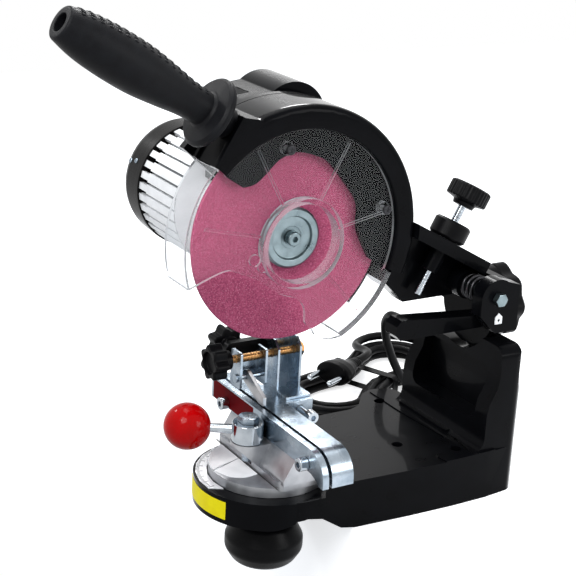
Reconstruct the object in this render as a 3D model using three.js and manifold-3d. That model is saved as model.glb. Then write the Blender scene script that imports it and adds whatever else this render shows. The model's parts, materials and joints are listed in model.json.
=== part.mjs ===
// Electric chainsaw sharpener that bolts to a bench, in millimetres.
// X runs to the open side of the grinding wheel, Y back to the column, Z up.
// The pieces are laid out from the pivot of the chain vise, at bench height.
// The last lines move the zero to the middle rib under the foot.

import * as THREE from 'three';
import { mergeVertices } from 'three/addons/utils/BufferGeometryUtils.js';
import Module from 'manifold-3d';

const wasm = await Module();
wasm.setup();

// Driving sizes
const wheelRadius = 72.5;
const wheelThickness = 3.2;
const wheelBore = 11.1;
const wheelY = 6.7;
const wheelZ = 201;
const hingeY = 152.5;
const hingeZ = 152;
const tiltZ = 131;
const baseHalfWidth = 52;
const baseBack = 184;
const deckTop = 36;
const platformTop = 28.5;
const jawTop = 74;
const armSlope = 28.55;
const shaftRadius = 6;
const cordDiameter = 7;

// What every piece shares
const seatGap = 0.3;
const runGap = 0.3;
const overrun = 2;
const mergeTolerance = 1e-4;
const fineSides = 48;
const roundSides = 28;
const knobSides = 20;
const hiddenSides = 16;
const smallSides = 12;
const curveSteps = 4;
const drumSteps = 10;
const lobeSteps = 6;
const degree = Math.PI / 180;
const wheelAxis = [wheelY, wheelZ];
const wheelFace = wheelThickness / 2;

function finish(color, roughness, metalness) {
  return new THREE.MeshStandardMaterial({ color, roughness, metalness });
}

const glossBlack = finish(0x121214, 0.25, 0.2);
const mouldedBlack = finish(0x1c1c1f, 0.5, 0);
const rubberBlack = finish(0x202023, 0.8, 0);
const zincPlate = finish(0xaeb9c1, 0.35, 0.9);
const chromePlate = finish(0xd5dadd, 0.15, 1);
const bareSteel = finish(0x94999d, 0.4, 0.9);
const yellowZinc = finish(0xb98d4f, 0.35, 0.85);
const silverAlloy = finish(0xdfe4e6, 0.45, 0.5);
const pinkGrit = finish(0xc0607f, 0.95, 0);
const redGloss = finish(0xd01414, 0.15, 0);
const scaleSilver = finish(0xd9dadd, 0.5, 0.3);
const clearPlastic = finish(0xdfe6ea, 0.1, 0);
clearPlastic.transparent = true;
clearPlastic.opacity = 0.4;

// Building blocks: each one gives a closed solid that can be cut and joined

function windOutwards(position, index) {
  const a = new THREE.Vector3();
  const b = new THREE.Vector3();
  const c = new THREE.Vector3();
  let volume = 0;
  for (let i = 0; i < index.length; i += 3) {
    a.fromBufferAttribute(position, index[i]);
    b.fromBufferAttribute(position, index[i + 1]);
    c.fromBufferAttribute(position, index[i + 2]);
    volume += a.dot(b.cross(c));
  }
  if (volume > 0) return;
  for (let i = 0; i < index.length; i += 3) {
    [index[i], index[i + 1]] = [index[i + 1], index[i]];
  }
}

function solid(geometry) {
  geometry.deleteAttribute('normal');
  geometry.deleteAttribute('uv');
  const merged = mergeVertices(geometry, mergeTolerance);
  const triVerts = new Uint32Array(merged.index.array);
  windOutwards(merged.attributes.position, triVerts);
  const vertProperties = new Float32Array(merged.attributes.position.array);
  return new wasm.Manifold(new wasm.Mesh({ numProp: 3, vertProperties, triVerts }));
}

function block([x0, x1], [y0, y1], [z0, z1]) {
  const box = new THREE.BoxGeometry(x1 - x0, y1 - y0, z1 - z0);
  box.translate((x0 + x1) / 2, (y0 + y1) / 2, (z0 + z1) / 2);
  return solid(box);
}

// A plate square to an axis, between two places on it. Its outline is drawn
// in (y, z) for axis x, in (x, z) for axis y and in (x, y) for axis z.
function plate(axis, outline, [from, to], steps = curveSteps) {
  const options = { depth: to - from, bevelEnabled: false, curveSegments: steps };
  const slab = new THREE.ExtrudeGeometry(outline, options);
  if (axis === 'x') {
    slab.rotateZ(Math.PI / 2);
    slab.rotateY(Math.PI / 2);
    slab.translate(from, 0, 0);
  } else if (axis === 'y') {
    slab.rotateX(Math.PI / 2);
    slab.translate(0, to, 0);
  } else {
    slab.translate(0, 0, from);
  }
  return solid(slab);
}

function turnTo(axis, lathe, at) {
  if (axis === 'x') {
    lathe.rotateZ(-Math.PI / 2);
    lathe.translate(0, at[0], at[1]);
  } else if (axis === 'y') {
    lathe.translate(at[0], 0, at[1]);
  } else {
    lathe.rotateX(Math.PI / 2);
    lathe.translate(at[0], at[1], 0);
  }
  return solid(lathe);
}

// A turned solid: the profile lists [radius, place along the axis], and at
// says where the axis crosses the plane of the other two, in X, Y, Z order.
function ring(axis, profile, at = [0, 0], sides = roundSides) {
  const points = profile.map(([radius, along]) => new THREE.Vector2(radius, along));
  points.push(points[0].clone());
  return turnTo(axis, new THREE.LatheGeometry(points, sides), at);
}

// The same for a profile that starts and ends on its axis
function spun(axis, profile, at = [0, 0], sides = roundSides) {
  const points = profile.map(([radius, along]) => new THREE.Vector2(radius, along));
  return turnTo(axis, new THREE.LatheGeometry(points, sides), at);
}

function rod(axis, radius, [from, to], at = [0, 0], sides = smallSides) {
  return spun(axis, [[0, from], [radius, from], [radius, to], [0, to]], at, sides);
}

function hexagon(axis, acrossFlats, span, at = [0, 0]) {
  return rod(axis, acrossFlats / Math.sqrt(3), span, at, 6);
}

function join(...pieces) {
  return pieces.reduce((whole, piece) => whole.add(piece));
}

function cut(body, ...tools) {
  return tools.reduce((rest, tool) => rest.subtract(tool), body);
}

function addTo(parent, name, shape, material) {
  const mesh = shape.getMesh();
  const geometry = new THREE.BufferGeometry();
  geometry.setAttribute('position', new THREE.BufferAttribute(mesh.vertProperties, 3));
  geometry.setIndex(new THREE.BufferAttribute(mesh.triVerts, 1));
  geometry.computeVertexNormals();
  const part = new THREE.Mesh(geometry, material);
  part.name = name;
  parent.add(part);
}

function groupAt(parent, x, y, z) {
  const holder = new THREE.Group();
  holder.position.set(x, y, z);
  parent.add(holder);
  return holder;
}

// Outlines

function roundedRectangle([x0, x1], [y0, y1], radius) {
  const shape = new THREE.Shape();
  shape.moveTo(x0 + radius, y0);
  shape.lineTo(x1 - radius, y0);
  shape.absarc(x1 - radius, y0 + radius, radius, -Math.PI / 2, 0, false);
  shape.lineTo(x1, y1 - radius);
  shape.absarc(x1 - radius, y1 - radius, radius, 0, Math.PI / 2, false);
  shape.lineTo(x0 + radius, y1);
  shape.absarc(x0 + radius, y1 - radius, radius, Math.PI / 2, Math.PI, false);
  shape.lineTo(x0, y0 + radius);
  shape.absarc(x0 + radius, y0 + radius, radius, Math.PI, 1.5 * Math.PI, false);
  return shape;
}

function polygon(points) {
  return new THREE.Shape(points.map(([x, y]) => new THREE.Vector2(x, y)));
}

function aboutWheel(radius, angle) {
  const y = wheelY + radius * Math.cos(angle * degree);
  const z = wheelZ + radius * Math.sin(angle * degree);
  return new THREE.Vector2(y, z);
}

// A band round the wheel's axis from one angle up to another, in degrees
function bandAboutWheel(inner, outer, from, to) {
  const shape = new THREE.Shape();
  shape.absarc(wheelY, wheelZ, outer, from * degree, to * degree, false);
  shape.absarc(wheelY, wheelZ, inner, to * degree, from * degree, true);
  shape.closePath();
  return shape;
}

// The edge of a knob with lobes for the fingers
function lobes(radius, count, depth, [cx, cy]) {
  const steps = count * lobeSteps;
  const points = [];
  for (let i = 0; i < steps; i += 1) {
    const angle = (i / steps) * 2 * Math.PI;
    const r = radius - (depth / 2) * (1 - Math.cos(count * angle));
    points.push([cx + r * Math.cos(angle), cy + r * Math.sin(angle)]);
  }
  return polygon(points);
}

// Foot and column: one casting, which carries everything else
const recessRoom = 2.5;
const noseMargin = 1.5;
const scaleWidth = 7.9;
const scaleGap = 1;
const scaleOuter = baseHalfWidth - noseMargin;
const scaleInner = scaleOuter - scaleWidth;
const base = {
  sideBulge: 4,
  rearCorner: 12,
  noseUnderside: 9,
  noseFlatEnd: -24,
  archY: 3,
  archTop: 15,
  footFront: 42,
  recessRadius: baseHalfWidth + recessRoom,
  wall: 5,
  ribWidth: 4,
  webTop: 28,
  columnFront: 150,
  columnFillet: 10,
  neckFront: 159,
  neckBack: 177,
  shoulderLow: 64,
  shoulderHigh: 92,
  leftTop: 101,
  rightTop: 114,
  leftRound: 14,
  rightRound: 9,
  bossRadius: 28,
  bossBack: 183,
  yokeSeat: 172,
  pocketX: [-40, 38],
  pocketZ: [56, 96],
  pocketDeep: 166,
  pocketRound: 7,
  stepHeight: 3,
  stepFront: 143,
};
const ear = { reach: 78, front: 103, back: 156, round: 17 };
const benchBolt = {
  hole: 4.2,
  boss: 9,
  places: [[15, 100], [40, 134], [-56, 132]],
};
const pillarBore = { radius: 5.3 };
const tiltStud = { radius: 5, inYoke: 168.3, back: 196 };

function baseSideOutline() {
  const side = new THREE.Shape();
  side.moveTo(-baseHalfWidth, base.noseUnderside);
  side.lineTo(base.noseFlatEnd, base.noseUnderside);
  const rise = (base.archY - base.noseFlatEnd) / 2;
  side.bezierCurveTo(
    base.noseFlatEnd + rise, base.noseUnderside,
    base.archY - rise, base.archTop, base.archY, base.archTop,
  );
  const fall = (base.footFront - base.archY) / 2;
  side.bezierCurveTo(
    base.archY + fall, base.archTop,
    base.footFront - fall, 0, base.footFront, 0,
  );
  side.lineTo(baseBack, 0);
  side.lineTo(baseBack, base.shoulderLow);
  const lean = (base.shoulderHigh - base.shoulderLow) / 2;
  side.bezierCurveTo(
    baseBack, base.shoulderLow + lean,
    base.neckBack, base.shoulderHigh - lean, base.neckBack, base.shoulderHigh,
  );
  side.lineTo(base.neckBack, base.rightTop + overrun);
  side.lineTo(base.neckFront, base.rightTop + overrun);
  side.lineTo(base.neckFront, base.shoulderHigh);
  side.bezierCurveTo(
    base.neckFront, base.shoulderHigh - lean,
    base.columnFront, base.shoulderLow + lean, base.columnFront, base.shoulderLow,
  );
  side.lineTo(base.columnFront, deckTop + base.columnFillet);
  side.absarc(
    base.columnFront - base.columnFillet, deckTop + base.columnFillet,
    base.columnFillet, 0, -Math.PI / 2, true,
  );
  side.lineTo(-baseHalfWidth, deckTop);
  return side;
}

function basePlanOutline() {
  const plan = new THREE.Shape();
  const bulge = baseHalfWidth + base.sideBulge;
  const corner = base.rearCorner;
  plan.absarc(0, 0, baseHalfWidth, Math.PI, 2 * Math.PI, false);
  plan.lineTo(baseHalfWidth, base.footFront);
  plan.bezierCurveTo(bulge, ear.front, bulge, ear.back, baseHalfWidth, baseBack - corner);
  plan.absarc(baseHalfWidth - corner, baseBack - corner, corner, 0, Math.PI / 2, false);
  plan.lineTo(-baseHalfWidth + corner, baseBack);
  plan.absarc(-baseHalfWidth + corner, baseBack - corner, corner, Math.PI / 2, Math.PI, false);
  plan.lineTo(-baseHalfWidth, ear.back);
  plan.lineTo(-ear.reach + ear.round, ear.back);
  plan.absarc(-ear.reach + ear.round, ear.back - ear.round, ear.round, Math.PI / 2, Math.PI, false);
  plan.bezierCurveTo(
    -ear.reach, ear.front + ear.round,
    -baseHalfWidth, ear.front + ear.round, -baseHalfWidth, ear.front,
  );
  plan.closePath();
  return plan;
}

function baseFrontOutline() {
  const front = new THREE.Shape();
  const wide = ear.reach + overrun;
  const left = base.leftRound;
  const right = base.rightRound;
  front.moveTo(-wide, 0);
  front.lineTo(wide, 0);
  front.lineTo(wide, deckTop);
  front.lineTo(baseHalfWidth, deckTop);
  front.lineTo(baseHalfWidth, base.rightTop - right);
  front.absarc(baseHalfWidth - right, base.rightTop - right, right, 0, Math.PI / 2, false);
  front.lineTo(0, base.rightTop);
  front.lineTo(0, base.leftTop);
  front.lineTo(-baseHalfWidth + left, base.leftTop);
  front.absarc(-baseHalfWidth + left, base.leftTop - left, left, Math.PI / 2, Math.PI, false);
  front.lineTo(-baseHalfWidth, deckTop);
  front.lineTo(-wide, deckTop);
  return front;
}

// The hollows between the ribs under the foot
function ribHollows() {
  const columns = 4;
  const rows = 3;
  const left = -baseHalfWidth + base.wall;
  const front = base.footFront + base.wall;
  const cellX = (baseHalfWidth - base.wall - left) / columns;
  const cellY = (baseBack - base.wall - front) / rows;
  const half = base.ribWidth / 2;
  const hollows = [];
  for (let i = 0; i < columns; i += 1) {
    for (let j = 0; j < rows; j += 1) {
      const x = [left + i * cellX + half, left + (i + 1) * cellX - half];
      const y = [front + j * cellY + half, front + (j + 1) * cellY - half];
      hollows.push(block(x, y, [-overrun, base.webTop]));
    }
  }
  return hollows;
}

function makeBase(parent) {
  const wide = ear.reach + overrun;
  const tiltAxis = [0, tiltZ];
  const side = plate('x', baseSideOutline(), [-wide, wide]);
  const plan = plate('z', basePlanOutline(), [-overrun, base.rightTop + 2 * overrun]);
  const front = plate('y', baseFrontOutline(), [-baseHalfWidth - overrun, baseBack + overrun]);
  let casting = side.intersect(plan).intersect(front);
  const recess = rod('z', base.recessRadius, [platformTop, deckTop + overrun], [0, 0], fineSides);
  casting = cut(casting, recess, ...ribHollows());
  const raised = roundedRectangle(
    [-baseHalfWidth + base.wall, benchBolt.places[0][0]],
    [base.stepFront, base.columnFront + base.stepHeight], base.stepHeight,
  );
  const bossSpan = [0, base.webTop + overrun];
  const bosses = benchBolt.places.map((at) => rod('z', benchBolt.boss, bossSpan, at));
  const tiltBoss = rod('y', base.bossRadius, [base.yokeSeat, base.bossBack], tiltAxis, roundSides);
  const step = plate('z', raised, [base.webTop, deckTop + base.stepHeight]);
  casting = join(casting, step, ...bosses, tiltBoss);
  const pocket = roundedRectangle(base.pocketX, base.pocketZ, base.pocketRound);
  const holeSpan = [-overrun, deckTop + overrun];
  const holes = benchBolt.places.map((at) => rod('z', benchBolt.hole, holeSpan, at));
  const roomSpan = [base.neckFront - overrun, base.yokeSeat];
  const yokeRoom = rod('y', yoke.discRadius + runGap + overrun, roomSpan, tiltAxis, roundSides);
  const glandSpan = [-baseHalfWidth - overrun, -baseHalfWidth + gland.inside + runGap];
  casting = cut(
    casting,
    plate('y', pocket, [base.columnFront - overrun, base.pocketDeep]),
    yokeRoom,
    rod('y', pillarBore.radius, [base.yokeSeat - overrun, base.bossBack + overrun], tiltAxis),
    rod('z', turntable.boltRadius + runGap, [-overrun, deckTop], [0, 0]),
    rod('z', viseKnob.washer + overrun, [-overrun, base.archTop], [0, 0]),
    rod('x', gland.neckRadius + runGap, glandSpan, gland.at),
    ...holes,
  );
  addTo(parent, 'base_casting', casting, glossBlack);
}

// Degree scale riveted round the front of the platform
const scale = {
  inner: scaleInner,
  outer: scaleOuter,
  thickness: 0.8,
  fromAngle: 155,
  toAngle: 278,
  innerToAngle: 286,
};

function makeScale(parent) {
  const arc = new THREE.Shape();
  arc.absarc(0, 0, scale.outer, scale.fromAngle * degree, scale.toAngle * degree, false);
  arc.absarc(0, 0, scale.inner, scale.innerToAngle * degree, scale.fromAngle * degree, true);
  arc.closePath();
  addTo(parent, 'scale_plate', plate('z', arc, [platformTop, platformTop + scale.thickness]), scaleSilver);
}

// Turntable that carries the chain vise and swings over the scale
const turntable = {
  discRadius: scaleInner - scaleGap,
  discTop: 36,
  plateTop: 41,
  plateFront: -15,
  plateBack: 22,
  plateLeft: -47,
  plateRound: 5,
  bodyTop: 57.5,
  bodyX: [-46, 44],
  bodyBack: 19,
  bodyFront: -4.5,
  bodyToe: 2,
  horn: 12,
  boltRadius: 6,
  boltBottom: -32,
};

// Cam that presses the near jaw, on a post in front of the jaws
const cam = {
  at: [0, -17],
  radius: 11.1,
  throw: 0.62,
  throwAngle: -40,
  bottom: 56.3,
  top: 70,
  pinRadius: 3.5,
  headFlats: 13,
  headHeight: 4,
  restAngle: -123,
  armLength: 42,
  armRadius: 3.6,
  armTip: 3,
  armZ: 63.5,
  ballRadius: 16.5,
  ballBore: 12,
};

function makeTurntable(parent) {
  const discSpan = [platformTop + seatGap, turntable.discTop];
  const disc = rod('z', turntable.discRadius, discSpan, [0, 0], fineSides);
  const top = roundedRectangle(
    [turntable.plateLeft, turntable.discRadius],
    [turntable.plateFront, turntable.plateBack], turntable.plateRound,
  );
  const slab = plate('z', top, [turntable.discTop - overrun, turntable.plateTop], 2);
  const body = polygon([
    [turntable.plateFront + turntable.bodyToe, turntable.plateTop - overrun],
    [turntable.plateFront + turntable.bodyToe, turntable.plateTop + turntable.bodyToe],
    [turntable.bodyFront, turntable.bodyTop],
    [turntable.bodyBack, turntable.bodyTop],
    [turntable.bodyBack, turntable.plateTop - overrun],
  ]);
  const pedestal = plate('x', body, turntable.bodyX);
  const hornBack = turntable.bodyFront + overrun;
  const horn = polygon([
    [turntable.plateFront + turntable.bodyToe, turntable.plateTop - overrun],
    [cam.at[1] - turntable.horn, cam.bottom - seatGap - turntable.bodyToe],
    [cam.at[1] - turntable.horn, cam.bottom - seatGap],
    [hornBack, cam.bottom - seatGap],
    [hornBack, turntable.plateTop - overrun],
  ]);
  const hornRound = new THREE.Shape();
  hornRound.absarc(...cam.at, turntable.horn, Math.PI, 2 * Math.PI, false);
  hornRound.lineTo(turntable.horn, hornBack);
  hornRound.lineTo(-turntable.horn, hornBack);
  const hornSpan = [turntable.discTop, turntable.bodyTop];
  const wedge = plate('x', horn, [-turntable.horn, turntable.horn]);
  const post = wedge.intersect(plate('z', hornRound, hornSpan));
  const pinSpan = [turntable.discTop + overrun, turntable.bodyTop + overrun];
  const camHole = rod('z', cam.pinRadius + runGap, pinSpan, cam.at);
  const boltSpan = [platformTop - overrun, turntable.plateTop];
  const boltHole = rod('z', turntable.boltRadius + runGap, boltSpan, [0, 0]);
  addTo(parent, 'vise_turntable', cut(join(disc, slab, pedestal, post), camHole, boltHole), silverAlloy);
}

// Bolt through the platform on which the turntable swings
function makeSwivelBolt(parent) {
  const hole = turntable.plateTop - seatGap;
  const bolt = rod('z', turntable.boltRadius, [turntable.boltBottom, hole], [0, 0]);
  addTo(parent, 'swivel_bolt', bolt, zincPlate);
}

// Big hand nut under the nose, which locks the swing
const viseKnob = { radius: 28, bottom: -40, top: -4, hub: 12, hubTop: 12, washer: 14, round: 6 };

function makeViseKnob(parent) {
  const { radius, bottom, top, hub, hubTop, round } = viseKnob;
  const bore = turntable.boltRadius + runGap;
  const depth = turntable.boltBottom - runGap;
  const knob = spun('z', [
    [0, bottom], [radius - 1.5 * round, bottom], [radius - round / 2, bottom + round],
    [radius, bottom + 2.5 * round], [radius, top - 2 * round], [radius - round / 3, top - round / 2],
    [radius - 1.5 * round, top], [hub, top], [hub, hubTop], [bore, hubTop], [bore, depth], [0, depth],
  ]);
  addTo(parent, 'vise_lock_knob', knob, mouldedBlack);
}

function makeLockWasher(parent) {
  const inner = turntable.boltRadius + runGap;
  const bottom = viseKnob.hubTop + seatGap;
  const top = base.archTop - seatGap;
  const washer = ring('z', [
    [inner, bottom], [viseKnob.washer, bottom], [viseKnob.washer, top], [inner, top],
  ], [0, 0], knobSides);
  addTo(parent, 'lock_washer', washer, zincPlate);
}

// The two jaws, whose slot holds the drive links of the chain
const jaw = {
  slot: 1.1,
  farBack: 18,
  nearFront: -6,
  left: -80,
  endX: 81,
  endRound: 18,
  endFoot: 40,
  endThick: 5,
  low: 57.8,
  lugX: [-44, -8],
  lugBack: 40,
  lugLow: 62,
  screwX: [-50, 59],
  screwZ: 62,
  screwRadius: 2.5,
  headRadius: 4.6,
  headLength: 6,
  screwDeep: 14,
  flangeX: [-86, -56],
  flangeZ: [62.5, 66.5],
  flangeOut: 9,
  flangeSlot: 3,
};

function jawOutline() {
  const shape = new THREE.Shape();
  const round = jaw.endRound;
  const inner = jaw.endX - jaw.endThick;
  shape.moveTo(jaw.left, jaw.low);
  shape.lineTo(jaw.endX - round - jaw.endThick, jaw.low);
  shape.bezierCurveTo(
    inner - jaw.endThick, jaw.low,
    inner, jaw.low - jaw.endThick, inner, jaw.endFoot + round / 2,
  );
  shape.lineTo(inner, jaw.endFoot);
  shape.lineTo(jaw.endX, jaw.endFoot);
  shape.lineTo(jaw.endX, jawTop - round);
  shape.absarc(jaw.endX - round, jawTop - round, round, 0, Math.PI / 2, false);
  shape.lineTo(jaw.left, jawTop);
  return shape;
}

function jawHoles(span) {
  return jaw.screwX.map((x) => rod('y', jaw.screwRadius + runGap, span, [x, jaw.screwZ]));
}

function makeFarJaw(parent) {
  const bar = plate('y', jawOutline(), [jaw.slot, jaw.farBack]);
  const lug = block(jaw.lugX, [jaw.farBack - overrun, jaw.lugBack], [jaw.lugLow, jawTop]);
  const holes = jawHoles([0, jaw.screwDeep + runGap]);
  const clampHole = rod('x', stopBolt.radius + runGap, [stopBolt.inside - runGap, 0], stopBolt.at);
  addTo(parent, 'far_jaw', cut(join(bar, lug), ...holes, clampHole), zincPlate);
}

function makeNearJaw(parent) {
  const bar = plate('y', jawOutline(), [jaw.nearFront, -jaw.slot]);
  const flangeY = [jaw.nearFront - jaw.flangeOut, -jaw.slot - overrun];
  const flange = block(jaw.flangeX, flangeY, jaw.flangeZ);
  const middle = (jaw.flangeX[0] + jaw.left) / 2 + jaw.flangeOut;
  const slotY = [flangeY[0] + jaw.flangeSlot, jaw.nearFront - jaw.flangeSlot];
  const slot = block([jaw.flangeX[0] + jaw.flangeSlot, middle], slotY, [jaw.low, jawTop]);
  const holes = jawHoles([jaw.nearFront - overrun, 0]);
  addTo(parent, 'near_jaw', cut(join(bar, cut(flange, slot)), ...holes), zincPlate);
}

// Screws on which the near jaw slides
function makeJawScrews(parent) {
  const headBack = jaw.nearFront - runGap;
  jaw.screwX.forEach((x, i) => {
    const screw = spun('y', [
      [0, headBack - jaw.headLength],
      [jaw.headRadius, headBack - jaw.headLength],
      [jaw.headRadius, headBack],
      [jaw.screwRadius, headBack],
      [jaw.screwRadius, jaw.screwDeep],
      [0, jaw.screwDeep],
    ], [x, jaw.screwZ], smallSides);
    addTo(parent, `jaw_screw_${i + 1}`, screw, chromePlate);
  });
}

function polar(radius, angle) {
  return [radius * Math.cos(angle * degree), radius * Math.sin(angle * degree)];
}

// The cam is round and sits off its pin's axis, so turning it closes the jaw
function makeCam(parent) {
  const post = groupAt(parent, ...cam.at, 0);
  const offset = polar(cam.throw, cam.throwAngle);
  const away = polar(cam.armLength, cam.restAngle);
  const hub = rod('z', cam.radius, [cam.bottom, cam.top], offset, roundSides);
  const pinHole = rod('z', cam.pinRadius + runGap, [cam.bottom - overrun, cam.top + overrun], [0, 0]);
  const lever = spun('z', [
    [0, 0], [cam.armRadius, 0], [cam.armTip, cam.armLength + cam.ballBore / 2 - cam.ballRadius],
    [cam.armTip, cam.armLength - seatGap], [0, cam.armLength - seatGap],
  ], [0, 0], smallSides);
  const laid = lever.rotate([0, 90, 0]).rotate([0, 0, cam.restAngle]).translate([0, 0, cam.armZ]);
  addTo(post, 'cam_lever', cut(join(hub, laid), pinHole), chromePlate);
  const ball = cut(
    spun('z', sphereProfile(cam.ballRadius), [0, 0], knobSides),
    rod('z', cam.armTip + runGap, [-cam.ballRadius - overrun, 0], [0, 0]),
  );
  const set = ball.rotate([0, 90, 0]).rotate([0, 0, cam.restAngle]).translate([...away, cam.armZ]);
  addTo(post, 'lever_ball', set, redGloss);
  const under = cam.top + seatGap;
  const head = hexagon('z', cam.headFlats, [under, under + cam.headHeight]);
  const pin = rod('z', cam.pinRadius, [turntable.plateTop, under + cam.headHeight / 2]);
  addTo(post, 'cam_bolt', join(head, pin), zincPlate);
}

function sphereProfile(radius) {
  const points = [];
  const rows = knobSides / 2;
  for (let i = 0; i <= rows; i += 1) {
    const angle = (i / rows - 1 / 2) * Math.PI;
    const onAxis = i === 0 || i === rows;
    points.push([onAxis ? 0 : radius * Math.cos(angle), radius * Math.sin(angle)]);
  }
  return points;
}

// Chain stop behind the jaws: a bracket, a screw and the carriage it shifts
const stop = {
  x: -35,
  z: 102,
  bracketX: [-44, -26],
  bracketY: [20, 40],
  bracketTop: 113,
  sheet: 2,
  chamfer: 6,
  footX: -12,
  screwRadius: 3,
  screwFront: -19,
  screwBack: 46,
  knobRadius: 13,
  knobY: [-31, -17],
  knobHub: 7,
  knobHubBack: -14.6,
  knobLobes: 7,
  knobDish: 3,
  nutLength: 4,
  nutFlats: 10,
};
const stopBolt = { at: [29, 68], radius: 2.5, inside: -20, head: 4.6, headX: [5, 11] };

function makeStopBracket(parent) {
  const [x0, x1] = stop.bracketX;
  const [y0, y1] = stop.bracketY;
  const cheek = polygon([
    [x0, jawTop], [x1, jawTop], [x1, stop.bracketTop - stop.chamfer],
    [x1 - stop.chamfer, stop.bracketTop], [x0, stop.bracketTop],
  ]);
  const front = plate('y', cheek, [y0, y0 + stop.sheet]);
  const back = plate('y', cheek, [y1 - stop.sheet, y1]);
  const web = block([x0, x0 + stop.sheet], stop.bracketY, [jawTop, stop.bracketTop]);
  const foot = block([x0, stop.footX], stop.bracketY, [jawTop, jawTop + stop.sheet]);
  const hole = rod('y', stop.screwRadius + runGap, [y0 - overrun, y1 + overrun], [stop.x, stop.z]);
  addTo(parent, 'stop_bracket', cut(join(front, back, web, foot), hole), zincPlate);
  const bolt = spun('x', [
    [0, stopBolt.inside], [stopBolt.radius, stopBolt.inside], [stopBolt.radius, stopBolt.headX[0]],
    [stopBolt.head, stopBolt.headX[0]], [stopBolt.head, stopBolt.headX[1]], [0, stopBolt.headX[1]],
  ], stopBolt.at, smallSides);
  addTo(parent, 'stop_clamp_screw', bolt, chromePlate);
}

function makeStopScrew(parent) {
  const at = [stop.x, stop.z];
  const nutFront = stop.bracketY[1] + seatGap;
  const thread = rod('y', stop.screwRadius, [stop.screwFront, stop.screwBack], at);
  const nut = hexagon('y', stop.nutFlats, [nutFront, nutFront + stop.nutLength], at);
  addTo(parent, 'stop_screw', join(thread, nut), yellowZinc);
  const [front, back] = stop.knobY;
  const edge = lobes(stop.knobRadius, stop.knobLobes, stop.knobDish, at);
  const rim = plate('y', edge, [front, back - stop.knobDish]);
  const hub = rod('y', stop.knobHub, [back - stop.knobDish - overrun, stop.knobHubBack], at);
  const dish = rod('y', stop.knobHub + stop.knobDish / 2, [front - overrun, front + stop.knobDish], at);
  const boreSpan = [stop.screwFront - runGap, stop.knobHubBack + overrun];
  const bore = rod('y', stop.screwRadius + runGap, boreSpan, at);
  addTo(parent, 'stop_knob', cut(join(rim, hub), dish, bore), mouldedBlack);
}

const carriage = {
  y: [-9, 13],
  x: [-42, -28],
  sheet: 1.8,
  z: [81, 108],
  webTop: 96,
};
const pawl = {
  y: [-1.5, 1.5],
  pivotZ: 88,
  pivotX: -33,
  eye: 5,
  eyeFrom: 60,
  eyeTo: 252,
  pinRadius: 1.8,
  pinHead: 3.2,
  pinProud: 1.5,
  tipX: -8,
  tipZ: 75,
  tipHeight: 6,
};

function makeCarriage(parent) {
  const [front, back] = carriage.y;
  const tab = roundedRectangle(carriage.x, carriage.z, carriage.sheet);
  const frontTab = plate('y', tab, [front, front + carriage.sheet], 3);
  const backTab = plate('y', tab, [back - carriage.sheet, back], 3);
  const webX = [carriage.x[0], carriage.x[0] + carriage.sheet];
  const web = block(webX, carriage.y, [carriage.z[0] + carriage.sheet, carriage.webTop]);
  const screwHole = rod('y', stop.screwRadius + runGap, [front - overrun, back + overrun], [stop.x, stop.z]);
  const rivet = spun('y', [
    [0, front - pawl.pinProud], [pawl.pinHead, front - pawl.pinProud], [pawl.pinHead, front],
    [pawl.pinRadius, front + seatGap], [pawl.pinRadius, back], [0, back],
  ], [pawl.pivotX, pawl.pivotZ], smallSides);
  addTo(parent, 'stop_carriage', join(cut(join(frontTab, backTab, web), screwHole), rivet), zincPlate);
}

function makePawl(parent) {
  const finger = new THREE.Shape();
  finger.absarc(pawl.pivotX, pawl.pivotZ, pawl.eye, pawl.eyeFrom * degree, pawl.eyeTo * degree, false);
  finger.lineTo(pawl.tipX - pawl.tipHeight, pawl.tipZ);
  finger.lineTo(pawl.tipX, pawl.tipZ);
  finger.lineTo(pawl.tipX, pawl.tipZ + pawl.tipHeight);
  finger.closePath();
  const eyeSpan = [pawl.y[0] - overrun, pawl.y[1] + overrun];
  const eye = rod('y', pawl.pinRadius + runGap, eyeSpan, [pawl.pivotX, pawl.pivotZ]);
  addTo(parent, 'chain_pawl', cut(plate('y', finger, pawl.y), eye), zincPlate);
}

// Arm beside the bracket, with the hand nut that holds its setting
const sideArm = {
  x: [-50.3, -44.3],
  y: [-12, 30],
  z: [99, 110],
  round: 5,
  knobY: -4,
  knobZ: 104.5,
  knobX: [-66, -54],
  knobRadius: 13,
  studRadius: 3,
};

function makeSideArm(parent) {
  const at = [sideArm.knobY, sideArm.knobZ];
  const bar = plate('x', roundedRectangle(sideArm.y, sideArm.z, sideArm.round), sideArm.x, 4);
  const [left, right] = sideArm.knobX;
  const stud = rod('x', sideArm.studRadius, [left + 2 * stop.knobDish, sideArm.x[1] - overrun], at);
  addTo(parent, 'stop_side_arm', join(bar, stud), mouldedBlack);
  const rim = plate('x', lobes(sideArm.knobRadius, stop.knobLobes, stop.knobDish, at), [left, right]);
  const hub = rod('x', stop.knobHub, [right - overrun, sideArm.x[0] - seatGap], at);
  const boreSpan = [left + 2 * stop.knobDish - runGap, sideArm.x[0] + overrun];
  const bore = rod('x', sideArm.studRadius + runGap, boreSpan, at);
  addTo(parent, 'stop_lock_knob', cut(join(rim, hub), bore), mouldedBlack);
}

// Yoke that tilts on the column and carries the hinge of the head
const yoke = {
  back: 171.7,
  front: 165,
  discRadius: 30,
  lugX: [37, 48],
  lugRound: 14,
  lugLow: 126,
  lugTop: 160,
  bore: 4.3,
  tongueX: [3, 17],
  tongueFront: 90,
  tongueTop: 133,
  tongueBackTop: 127,
  tongueLow: 118,
  tongueRound: 4,
};
const hinge = {
  boltRadius: 4,
  headFlats: 10,
  headHeight: 5,
  nutHeight: 6,
  barrelX: [-36, 14],
  barrelRadius: 11,
};

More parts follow.
